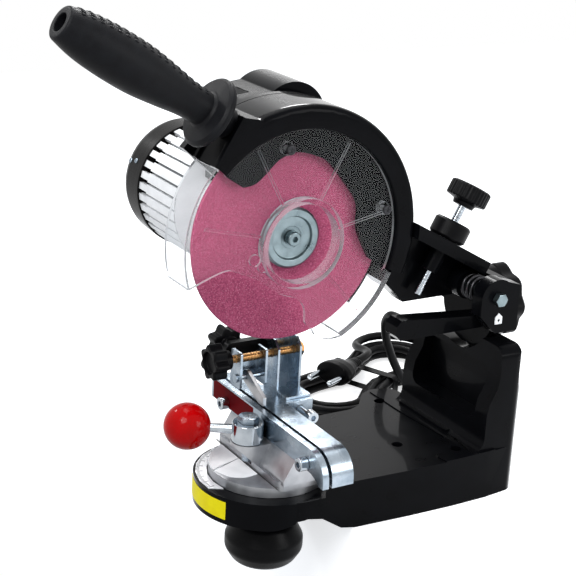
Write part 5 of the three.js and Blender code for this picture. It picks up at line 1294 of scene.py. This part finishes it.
def makeCover():
    back, front = cover["face"]
    outline = arcAboutWheel(cover["inner"], cover["high"], cover["low"], 160)
    outline += arcAboutWheel(cover["lobe"], cover["lobeFrom"], cover["lobeTo"], 40)
    outline += splineThrough([
        aboutWheel(guard["outer"] * share, angle) for angle, share in cover["edgeShares"]
    ], 8)
    outline += arcAboutWheel(cover["outer"], cover["to"], cover["high"], 57)
    shell = plate("x", outline, (back, front))
    bands = []
    rimBack = cover["rim"]
    for outer, low, high in (
        (cover["outer"], cover["high"], cover["to"]),
        (cover["lobe"], cover["lobeTo"], cover["lobeFrom"]),
    ):
        inner = outer - cover["wall"]
        section = [(outer, rimBack, 0.6), (outer, front, 1.6), (inner, front), (inner, rimBack, 0.6)]
        bands.append(sweptBand(filleted(section, 0, True, 5), low, high))
    mouth, collar = cover["collar"]
    ring = turned("x", filleted([
        (mouth, back), (collar, back), (collar, cover["collarFront"], 0.9),
        (mouth, cover["collarFront"], 0.9),
    ], 0, True, 4), wheelAxis, 96, True)
    posts = [
        rod("x", cover["post"], (guard["face"][1] + seatGap, front), aboutWheel(*place))
        for place in coverScrews["places"]
    ]
    stubs = [
        turned("x", filleted([
            (0, back), (cover["stub"], back), (cover["stub"], cover["stubFront"], 1),
            (0, cover["stubFront"]),
        ], 0, steps=4), aboutWheel(*place), 36)
        for place in cover["stubs"]
    ]
    ribs = []
    half = cover["ribWide"] / 2
    ribSpan = (front - cover["ribSunk"], front + cover["ribHigh"])
    for angle in cover["ribAngles"]:
        bar = block(ribSpan, (collar - cover["ribIn"], guard["band"] - cover["ribOut"]), (-half, half))
        turn = Matrix.Translation(Vector((0, *wheelAxis))) @ Matrix.Rotation(math.radians(angle), 4, "X")
        ribs.append(moved(bar, turn))
    join(shell, *bands, ring, *posts, *stubs, *ribs)
    hole = rod("x", mouth, (guard["face"][1], cover["collarFront"] + overrun), wheelAxis, 96)
    seats = []
    for place in coverScrews["places"]:
        at = aboutWheel(*place)
        seats.append(rod("x", coverScrews["radius"] + seatGap, (guard["face"][0], cover["stubFront"]), at))
        seats.append(rod("x", coverScrews["head"] + seatGap, (front, cover["stubFront"]), at))
    cut(shell, hole, *seats)
    easeEdges(shell, 0.4, 2, 40)
    dress(shell, "clearCover", "head", "clear_plastic", replaces=["clear_cover"])
    for i, place in enumerate(coverScrews["places"]):
        under = front + seatGap
        top = under + coverScrews["high"]
        shank, head, end = coverScrews["radius"], coverScrews["head"], guard["face"][0]
        screw = turned("x", filleted([
            (0, end), (shank, end, 0.4), (shank, under), (head, under, 0.2), (head, top, 1.3), (0, top),
        ], 0, steps=5), aboutWheel(*place), 40)
        y, z = aboutWheel(*place)
        floor = top - coverScrews["slotDeep"]
        long, narrow = coverScrews["slot"]
        cross = [
            block((floor, top + overrun), (y - wide, y + wide), (z - high, z + high))
            for wide, high in ((long, narrow), (narrow, long))
        ]
        cut(screw, *cross)
        dress(
            screw, f"coverScrew{i + 1}", "head", "dark_steel",
            replaces=[f"cover_screw_{i + 1}"],
        )


makeCover()
print("cover made")

motor = {
    "housing": (-134.5, -76.3), "radius": 45.5, "bore": 39.5, "tube": 42.7, "ribs": 34, "groove": 1.7,
    "slotWide": 3.6, "slotLong": 12, "ring": (-134.8, -139, 46.7), "cap": 46, "capEnd": -165, "rim": 36,
    "capWall": 3.5, "capEdge": (1.4, 4.5), "seat": 18, "seatDeep": 10, "bearing": 14.3,
    "spigot": (39.2, 38.1), "spigotEnd": -121.5, "spigotRoot": 2, "ribRoot": 0.5,
    "vents": 24, "vent": (8, 27), "ventHalf": 1.3, "screws": ((-147, 156), (-155, 158)),
    "screwHead": ((0, -0.6), (1.9, -0.6), (1.9, 0.9, 0.6), (0, 0.9)),
    "screwSlot": ((0.5, 2), (-0.3, 0.3), (-2.5, 2.5)),
}


def makeMotor():
    back, front = motor["housing"]
    radius, tubeRadius, bore = motor["radius"], motor["tube"], motor["bore"]
    pitch = 360 / motor["ribs"]
    tube = turned("x", filleted([
        (bore, back), (tubeRadius, back), (tubeRadius, front), (bore, front),
    ], 0, True), wheelAxis, 120, True)
    y, z = wheelAxis
    slot = block(
        (back - overrun, back + motor["slotLong"]), (y + bore - overrun, y + radius),
        (z - motor["slotWide"] / 2, z + motor["slotWide"] / 2),
    )
    cut(tube, around(slot, motor["ribs"], "silver_casting"))
    half = math.degrees(motor["groove"] / 2 / radius)
    slotHalf = math.degrees(motor["slotWide"] / 2 / radius)
    slotEnd = back + motor["slotLong"]
    parts = []
    root = tubeRadius - motor["ribRoot"]
    for low, high, rim in ((slotEnd - motor["ribRoot"], front, half), (back, slotEnd, slotHalf)):
        section = [(root, low), (radius, low), (radius, high), (root, high)]
        parts.append(turned("x", section, wheelAxis, 8, True, pitch - 2 * rim, rim))
    rib = easeEdges(join(*parts), 0.5, 2, 40)
    ribs = around(rib, motor["ribs"], "silver_casting")
    dress(ribs, "motorRibs", "head", "silver_casting")
    # The tube under the ribs takes the painted groove shade.
    dress(tube, "motorHousing", "head", "groove_grey", replaces=["motor_housing"])
    ringFace, ringEnd, ringRadius = motor["ring"]
    cap, end, rim, wall = motor["cap"], motor["capEnd"], motor["rim"], motor["capWall"]
    shoulder = end + cap - rim
    edgeIn, edgeUp = motor["capEdge"]
    outer, inner = motor["spigot"]
    tip, root = motor["spigotEnd"], ringFace - motor["spigotRoot"]
    seatBack = end + wall + overrun
    seatEnd = seatBack + motor["seatDeep"]
    profile = filleted([
        (0, end), (rim, end, 3), (cap - edgeIn, end + edgeUp, 5), (cap, shoulder, 5),
        (cap, ringEnd - 0.6), (ringRadius, ringEnd - 0.6, 0.5), (ringRadius, ringFace, 0.5),
        (outer, ringFace), (outer, tip, 0.3), (inner, tip, 0.3), (inner, root),
        (cap - wall, root), (cap - wall, shoulder), (rim - wall / 2, end + wall),
        (motor["seat"], end + wall), (motor["seat"], seatEnd), (motor["bearing"], seatEnd),
        (motor["bearing"], seatBack), (0, seatBack),
    ], 0, steps=6)
    body = turned("x", profile, wheelAxis, 120)
    near, far = motor["vent"]
    vent = block(
        (end - overrun, end + wall + 0.5), (y + near, y + far),
        (z - motor["ventHalf"], z + motor["ventHalf"]),
    )
    cut(body, around(vent, motor["vents"], "moulded_black"))
    dress(body, "motorEndCap", "head", "end_black", replaces=["motor_end_cap"])
    for i, (x, angle) in enumerate(motor["screws"]):
        head = turned("x", filleted(motor["screwHead"], 0, steps=4), (0, 0), 24)
        cut(head, block(*motor["screwSlot"]))
        spot = Vector((x, *aboutWheel(cap - 0.1, angle)))
        out = Matrix.Rotation(math.radians(angle), 4, "X") @ Matrix.Rotation(math.pi / 2, 4, "Z")
        moved(head, Matrix.Translation(spot) @ out)
        dress(head, f"capScrew{i + 1}", "head", "zinc_plate")


spindle = {
    "flange": (1.9, 6.9), "radius": 21, "recess": 14.5, "deep": 2.4, "hole": 3.3,
    "screw": 3, "screwBack": -12.8, "head": 5, "top": 10,
}


def makeSpindle():
    half = wheel["thick"] / 2
    stone = turned("x", filleted([
        (wheel["bore"], -half, 0.2), (wheel["radius"], -half, 0.5), (wheel["radius"], half, 0.5),
        (wheel["bore"], half, 0.2),
    ], 0, True, 3), wheelAxis, 144, True)
    dress(stone, "grindingWheel", "spindle", "pink_grit", replaces=["grinding_wheel"])
    low, high = spindle["flange"]
    floor = high - spindle["deep"]
    radius, recess = spindle["radius"], spindle["recess"]
    flange = turned("x", filleted([
        (spindle["hole"], low), (radius, low, 0.3), (radius, high - 1.4, 0.5), (radius - 1.6, high, 0.6),
        (recess + 0.6, high, 0.8), (recess, floor, 0.8), (spindle["hole"] + 4.5, floor, 0.3),
        (spindle["hole"] + 4.2, floor - 0.3, 0.3), (spindle["hole"], floor - 0.3),
    ], 0, True, 4), wheelAxis, 96, True)
    dress(flange, "outerFlange", "spindle", "flange_zinc", replaces=["outer_flange"])
    screw = socketScrew(
        "x", wheelAxis, spindle["screw"], spindle["screwBack"], spindle["head"],
        (floor + seatGap, spindle["top"]), 4, 2.6, 1.4,
    )
    dress(screw, "spindleScrew", "spindle", "flange_zinc", replaces=["spindle_screw"])


makeMotor()
makeSpindle()
print("motor and spindle made")


viseKnob = (
    (0, -40), (12, -40, 1), (22, -38.5, 10), (28, -28.5, 7), (28, -20, 6), (22, -9, 9), (15, -4, 3),
    (12, -3, 1), (12, 12, 0.6), (6.3, 12, 0.3), (6.3, -32.3), (0, -32.3),
)


def makeViseKnob():
    knob = turned("z", filleted(viseKnob, 0, steps=7), sides=120)
    dress(knob, "viseLockKnob", "vise_knob", "moulded_black", replaces=["vise_lock_knob"])


jawScrews = {"x": (-50, 59), "z": 62, "shank": 2.5, "deep": 14, "radius": 4.6, "head": (-6.3, -12.3)}
cam = {
    "at": (0, -17), "radius": 11.1, "throw": 0.62, "throwAngle": -40, "bottom": 56.3, "top": 70,
    "hole": 3.8, "arm": 42, "armRadius": 3.6, "armTip": 3, "rest": -123, "z": 63.5, "ball": 16.5,
    "bolt": (70.3, 74.3, 13), "pin": 3.5, "pinSpan": (41, 71.5),
}


def makeVise():
    for i, x in enumerate(jawScrews["x"]):
        at = (x, jawScrews["z"])
        screw = socketScrew(
            "y", at, jawScrews["shank"], jawScrews["deep"], jawScrews["radius"], jawScrews["head"], 4, 3,
        )
        dress(screw, f"jawScrew{i + 1}", "turntable", "chrome_plate", replaces=[f"jaw_screw_{i + 1}"])
    x, y = cam["at"]
    throw = math.radians(cam["throwAngle"])
    hubAt = (x + cam["throw"] * math.cos(throw), y + cam["throw"] * math.sin(throw))
    hub = turned("z", filleted([
        (0, cam["bottom"]), (cam["radius"], cam["bottom"], 0.7), (cam["radius"], cam["top"], 0.9),
        (0, cam["top"]),
    ], 0, steps=4), hubAt, 72)
    tipEnd = cam["arm"] - seatGap
    lever = turned("z", filleted([
        (0, 0), (cam["armRadius"], 0), (cam["armRadius"], 13, 2), (cam["armTip"], 25, 8),
        (cam["armTip"], tipEnd, 0.5), (0, tipEnd),
    ], 0, steps=5), sides=40)
    lay = Matrix.Translation(Vector((x, y, cam["z"]))) @ Matrix.Rotation(math.radians(cam["rest"]), 4, "Z")
    lie = lay @ Matrix.Rotation(math.pi / 2, 4, "Y")
    join(hub, moved(lever, lie))
    cut(hub, rod("z", cam["hole"], (cam["bottom"] - overrun, cam["top"] + overrun), cam["at"]))
    dress(easeEdges(hub, 0.25), "camLever", "cam", "chrome_plate", replaces=["cam_lever"])
    radius = cam["ball"]
    arc = [
        (radius * math.sin(math.pi * i / 36), -radius * math.cos(math.pi * i / 36)) for i in range(37)
    ]
    arc[0] = (0, -radius)
    arc[-1] = (0, radius)
    ball = turned("z", arc, sides=72)
    cut(ball, rod("z", cam["armTip"] + seatGap, (-radius - overrun, 0)))
    easeEdges(ball, 0.5, 3, 40)
    moved(ball, lie @ Matrix.Translation(Vector((0, 0, cam["arm"]))))
    dress(ball, "leverBall", "cam", "red_gloss", replaces=["lever_ball"])
    low, high, flats = cam["bolt"]
    head = boltHead("z", flats, (low, high), cam["at"])
    pin = rod("z", cam["pin"], cam["pinSpan"], cam["at"])
    dress(join(head, pin), "camBolt", "turntable", "zinc_plate", replaces=["cam_bolt"])


stop = {
    "at": (-35, 102), "screw": 3, "span": (-19, 46), "nut": (40.3, 44.3, 10), "clampAt": (29, 68),
    "thread": (-12, 45), "lockAt": (-4, 104.5), "lobes": (13, 7, 3),
    "knob": (
        (0, -28), (7.6, -28, 0.6), (8.4, -31, 0.7), (13, -31, 1.8), (13, -20, 1.2), (7, -20, 0.8),
        (7, -14.6, 0.5), (3.3, -14.6, 0.3), (3.3, -19.3), (0, -19.3),
    ),
    "lockKnob": (
        (0, -64.6), (7.4, -64.6, 0.6), (8.2, -66, 0.6), (13, -66, 1.8), (13, -54, 1.2), (7, -54, 0.8),
        (7, -50.6, 0.5), (3.3, -50.6, 0.3), (3.3, -60.3), (0, -60.3),
    ),
}


def makeStop():
    at = stop["at"]
    core = turned("y", filleted([
        (0, stop["span"][0]), (stop["screw"] - 0.25, stop["span"][0], 0.5),
        (stop["screw"] - 0.25, stop["span"][1], 0.7), (0, stop["span"][1]),
    ], 0), at, 40)
    threaded = threadOn(core, "y", stop["screw"] - 0.2, stop["thread"], at, "yellow_zinc")
    low, high, flats = stop["nut"]
    nut = gather([
        boltHead("y", flats, ((low + high) / 2 - 0.1, high), at, 0.6),
        boltHead("y", flats, ((low + high) / 2 + 0.1, low), at, 0.6),
    ])
    dress(gather([threaded, nut]), "stopScrew", "feed_screw", "yellow_zinc", replaces=["stop_screw"])
    for axis, spot, outline, name, body, node in (
        ("y", at, stop["knob"], "stopKnob", "feed_screw", "stop_knob"),
        ("x", stop["lockAt"], stop["lockKnob"], "stopLockKnob", "stop_nut", "stop_lock_knob"),
    ):
        knob = turned(axis, filleted(outline, 0, steps=5), spot, 140)
        lobed(knob, axis, spot, *stop["lobes"])
        dress(knob, name, body, "moulded_black", replaces=[node])
    clamp = socketScrew("x", stop["clampAt"], 2.5, -20, 4.6, (5, 11), 4, 3)
    dress(clamp, "stopClampScrew", "turntable", "chrome_plate", replaces=["stop_clamp_screw"])


hinge = {"at": hingeAt, "shank": 4, "head": (48.3, 53.3, 8.6), "nut": (-48.3, -54.3, 12)}
spring = {"mean": 8.5, "wire": 1.5, "span": (16.1, 35.2), "turns": 4, "leg": 8.5}


tiltKnob = {
    "outline": (
        (4.8, 183.5, 0.5), (25, 183.5, 1.5), (28, 186.5, 2), (28, 195.5, 2), (25, 198.5, 2),
        (9, 198.5, 1.5), (7, 197.5, 1), (0, 197.5), (0, 195), (4.8, 195),
    ),
    "lobes": (28, 8, 3),
}


def makeHinge():
    at = hinge["at"]
    low, high, flats = hinge["head"]
    head = boltHead("x", flats, (low, high), at)
    nutNear, nutFar, nutFlats = hinge["nut"]
    shank = turned("x", filleted([
        (0, nutFar), (hinge["shank"], nutFar, 0.7), (hinge["shank"], low + 1), (0, low + 1),
    ], 0), at, 40)
    dress(
        join(head, shank), "hingeBolt", "yoke", "flange_zinc", replaces=["hinge_bolt"],
    )
    nut = boltHead("x", nutFlats, (nutNear, nutFar), at)
    cut(nut, rod("x", hinge["shank"] + seatGap, (nutFar - overrun, nutNear + overrun), at))
    dress(nut, "hingeNut", "yoke", "zinc_plate", replaces=["hinge_nut"])
    y, z = at
    wound = coil(
        "x", spring["mean"], spring["wire"], spring["span"], spring["turns"], (0, 0), "dark_steel", 32, 12,
        True,
    )
    moved(wound, Matrix.Translation(Vector((0, y, z))) @ Matrix.Rotation(math.pi / 2, 4, "X"))
    leg = turned("z", filleted([
        (0, z - spring["leg"]), (spring["wire"], z - spring["leg"], 0.5), (spring["wire"], z, 0.5), (0, z),
    ], 0), (spring["span"][1], y + spring["mean"]), 12)
    dress(
        gather([wound, leg]), "returnSpring", "yoke", "dark_steel",
        replaces=["return_spring"],
    )
    profile = filleted(tiltKnob["outline"], 0, steps=5)
    knob = lobed(turned("y", profile, tiltAt, 128, closed=True), "y", tiltAt, *tiltKnob["lobes"])
    dress(knob, "tiltLockKnob", "tilt_nut", "moulded_black", replaces=["tilt_lock_knob"])


depth = {
    "screw": ((0, -43.6), (2.8, -43.6, 0.8), (2.8, 38.1), (0, 38.1)),
    "threads": ((-41, -28), (15, 25.5)), "pitch": 1.25, "threadAt": 2.7, "wire": 0.3,
    "knob": (
        (3.3, 26.1, 0.3), (7.5, 26.1, 0.6), (8.4, 29.2, 1.5), (15, 30.6, 1.5), (15, 41, 1.5),
        (12.8, 42.1, 1), (11.8, 41.5, 0.6), (0, 41.5), (0, 38.4), (3.3, 38.4),
    ),
    "lobes": (15, 30, 0.5),
    "collar": (
        (3.3, 0.3), (11.5, 0.3, 1), (13.5, 2.2, 1), (13.5, 12.4, 1.4), (11.8, 14, 1), (3.3, 14, 0.3),
    ),
}


def makeDepthStop():
    core = turned("z", filleted(depth["screw"], 0), sides=40)
    rows = []
    for span in depth["threads"]:
        turns = (span[1] - span[0]) / depth["pitch"]
        rows.append(coil(
            "z", depth["threadAt"], depth["wire"], span, turns, (0, 0), "chrome_plate", 20, 6,
        ))
    screw = moved(gather([core, *rows]), depthPlace)
    dress(screw, "depthScrew", "depth_rod", "chrome_plate", replaces=["depth_screw"])
    knob = turned("z", filleted(depth["knob"], 0, steps=5), sides=180, closed=True)
    lobed(knob, "z", (0, 0), *depth["lobes"])
    moved(knob, depthPlace)
    dress(knob, "depthKnob", "depth_wheel", "moulded_black", replaces=["depth_knob"])
    collar = turned("z", filleted(depth["collar"], 0, True, 5), sides=120, closed=True)
    moved(collar, depthPlace)
    dress(collar, "depthLockCollar", "depth_nut", "moulded_black", replaces=["depth_lock_collar"])


makeViseKnob()
makeVise()
makeStop()
makeHinge()
makeDepthStop()
print("vise, stop, hinge and depth stop made")

labels = {
    "sunk": 0.1, "line": ((-46.5, 41), (-15.9, -15.2)), "lineProud": 0.3,
    "red": {"x": (-71, -13), "z": (58.6, 72.6), "y": -6.0}, "thick": 0.25,
    "yellow": {"from": 242, "to": 298, "z": (12.5, 25.5), "radius": 52},
    "white": {
        "radius": 40.9, "top": 36, "chord": -16.2, "left": (205, 263.5), "split": -12.8,
        "right": ((-2.4, -40.2), (5, -38), (11.1, -34.4), (15.4, -26), (14.4, -16.2)),
    },
    "tag": {"x": 48, "at": (154.5, 137), "size": (3.0, 4.0), "proud": 0.8, "hole": 1.1},
}


# Printed sheets and a pointer; their words are left out.
def makeLabels():
    thick, sunk = labels["thick"], labels["sunk"]
    red = labels["red"]
    strip = block(red["x"], (red["y"] - thick, red["y"] + sunk), red["z"])
    dress(easeEdges(strip, 0.1), "jawLabel", "moving_jaw", "label_red")
    yellow = labels["yellow"]
    radius = yellow["radius"]
    count = yellow["to"] - yellow["from"]
    section = [
        (radius - 0.2, yellow["z"][0]), (radius + thick, yellow["z"][0]),
        (radius + thick, yellow["z"][1]), (radius - 0.2, yellow["z"][1]),
    ]
    sheet = turned("z", section, (0, 0), count, True, count, yellow["from"])
    dress(sheet, "noseLabel", "base", "label_yellow")
    white = labels["white"]
    top = white["top"]
    chord = white["chord"]
    split = white["split"]
    start, end = (math.radians(angle) for angle in white["left"])
    rim = [
        (white["radius"] * math.cos(angle), white["radius"] * math.sin(angle))
        for angle in (start + (end - start) * i / 40 for i in range(41))
    ]
    left = [(rim[0][0], chord), *rim, (split - 0.3, chord)]
    right = [(split + 0.4, chord), *splineThrough(white["right"], 8)]
    span = (top - sunk, top + thick)
    dress(
        gather([plate("z", left, span), plate("z", right, span)]), "discLabels", "turntable",
        "label_white",
    )
    edge = block(*labels["line"], (top - sunk, top + labels["lineProud"]))
    dress(edge, "discLine", "turntable", "mark_black")
    tag = labels["tag"]
    y, z = tag["at"]
    wide, high = tag["size"]
    pointer = plate("x", [
        (y - wide, z - high), (y + wide, z - high), (y + wide, z + high * 0.3), (y, z + high),
        (y - wide, z + high * 0.3),
    ], (tag["x"] - sunk, tag["x"] + tag["proud"]))
    cut(pointer, rod("x", tag["hole"], (tag["x"] - 1, tag["x"] + 2), (y, z - high * 0.3), 24))
    dress(easeEdges(pointer, 0.15), "tiltPointer", "yoke", "label_white")


makeLabels()
print("labels made")


switch = {
    "x": (-78, -33), "dome": (26, 271), "radius": 26, "to": 130, "shoulder": (-20, 288), "low": 226,
    "slope": 6, "key": (-9, 286), "keyX": (-62.3, -43.7), "room": 6.9, "top": 290,
    "nick": 1.8, "shell": (-80, -67.7), "bell": 32, "bellSpan": (-68, -31), "steps": 52,
}


def makeSwitchBox():
    domeY, domeZ = switch["dome"]
    radius = switch["radius"]
    shoulderY, shoulderZ = switch["shoulder"]
    outline = [(shoulderY, switch["low"]), (domeY + radius - switch["slope"], switch["low"])]
    for i in range(switch["steps"] + 1):
        angle = math.radians(switch["to"] * i / switch["steps"])
        outline.append((domeY + radius * math.cos(angle), domeZ + radius * math.sin(angle)))
    outline += [
        (shoulderY + switch["slope"], shoulderZ), (shoulderY + switch["nick"], shoulderZ - switch["nick"]),
        (shoulderY, shoulderZ - switch["slope"]),
    ]
    box = plate("x", outline, switch["x"])
    keyY, keyZ = switch["key"]
    room = switch["room"]
    cut(
        box, rod("x", motor["radius"] + seatGap, switch["shell"], wheelAxis, 120),
        rod("x", switch["bell"] + seatGap, switch["bellSpan"], wheelAxis, 120),
        rod("x", room, switch["keyX"], (keyY, keyZ), 48),
        block(switch["keyX"], (keyY - room, keyY + room), (keyZ, switch["top"])),
    )
    easeEdges(box, 1.4, 3)
    dress(box, "switchBox", "head", "black_casting", replaces=["switch_box"])


makeSwitchBox()
print("switch box made")


# Adds up the rays that are to see plain white.
def whiteRays(tree):
    path = addNode(tree, "ShaderNodeLightPath")
    total = path.outputs["Is Camera Ray"]
    for ray in ("Is Glossy Ray", "Is Transmission Ray"):
        step = addNode(tree, "ShaderNodeMath", operation="ADD", use_clamp=True)
        link(tree, total, step.inputs[0])
        link(tree, path.outputs[ray], step.inputs[1])
        total = step.outputs[0]
    return total


stage = {"grey": 0.86, "glow": 0.6, "slab": ((-1500, 1500), (40, 2600), (-400, 0))}
sky = {"colour": (0.8, 0.86, 0.95), "strength": 0.5}


def makeStage():
    material = bpy.data.materials.new("paleFloor")
    material.use_nodes = True
    tree = material.node_tree
    tree.nodes.remove(tree.nodes["Principled BSDF"])
    matt = addNode(tree, "ShaderNodeBsdfDiffuse")
    matt.inputs["Color"].default_value = (*[stage["grey"]] * 3, 1)
    glow = addNode(tree, "ShaderNodeEmission")
    power = addNode(tree, "ShaderNodeMath", operation="MULTIPLY")
    power.inputs[1].default_value = stage["glow"]
    link(tree, whiteRays(tree), power.inputs[0])
    link(tree, power.outputs[0], glow.inputs["Strength"])
    total = addNode(tree, "ShaderNodeAddShader")
    link(tree, matt.outputs[0], total.inputs[0])
    link(tree, glow.outputs[0], total.inputs[1])
    link(tree, total.outputs[0], tree.nodes["Material Output"].inputs["Surface"])
    bench = block(*stage["slab"])
    bench.data.transform(toFrame)
    bench.name = "benchSlab"
    bench.data.materials.append(material)


def makeWorld():
    world = bpy.data.worlds.new("studio")
    bpy.context.scene.world = world
    world.use_nodes = True
    tree = world.node_tree
    air = tree.nodes["Background"]
    air.inputs["Color"].default_value = (*sky["colour"], 1)
    air.inputs["Strength"].default_value = sky["strength"]
    white = addNode(tree, "ShaderNodeBackground")
    white.inputs["Color"].default_value = (1, 1, 1, 1)
    white.inputs["Strength"].default_value = 1
    mix = addNode(tree, "ShaderNodeMixShader")
    link(tree, whiteRays(tree), mix.inputs["Fac"])
    link(tree, air.outputs[0], mix.inputs[1])
    link(tree, white.outputs[0], mix.inputs[2])
    link(tree, mix.outputs[0], tree.nodes["World Output"].inputs["Surface"])


lamps = {
    "keyLamp": {"place": (0.5, -0.9, 1.1), "aim": (0, -0.05, 0.15), "size": 0.7, "power": 11.0},
    "topLamp": {"place": (-0.3, 0.1, 1.3), "aim": (0, -0.05, 0.1), "size": 0.9, "power": 9.0},
    "sideLamp": {"place": (1.1, 0.6, 0.6), "aim": (0, 0, 0.15), "size": 0.6, "power": 5.0},
    "nearGlint": {"place": (0.2, -0.9, 0.9), "aim": (0, 0, 0.1), "size": 0.1, "power": 1.6},
    "backGlint": {"place": (-1.0, 0.5, 0.95), "aim": (0, 0, 0.15), "size": 0.3, "power": 5.0},
    "leftGlint": {"place": (-1.0, -0.55, 0.85), "aim": (0, 0, 0.1), "size": 0.14, "power": 2.5},
}


def makeLamps():
    for name, lamp in lamps.items():
        data = bpy.data.lights.new(name, "AREA")
        data.shape = "DISK"
        data.size = lamp["size"]
        data.energy = lamp["power"]
        obj = bpy.data.objects.new(name, data)
        bpy.context.scene.collection.objects.link(obj)
        aim = Vector(lamp["aim"]) - Vector(lamp["place"])
        obj.matrix_world = (
            Matrix.Translation(Vector(lamp["place"])) @ aim.to_track_quat("-Z", "Y").to_matrix().to_4x4()
        )


makeStage()
makeWorld()
makeLamps()
bpy.context.scene.view_settings.view_transform = "Standard"
for node, obj in frame["nodes"].items():
    if not obj.hide_render:
        print("still its solid:", node)
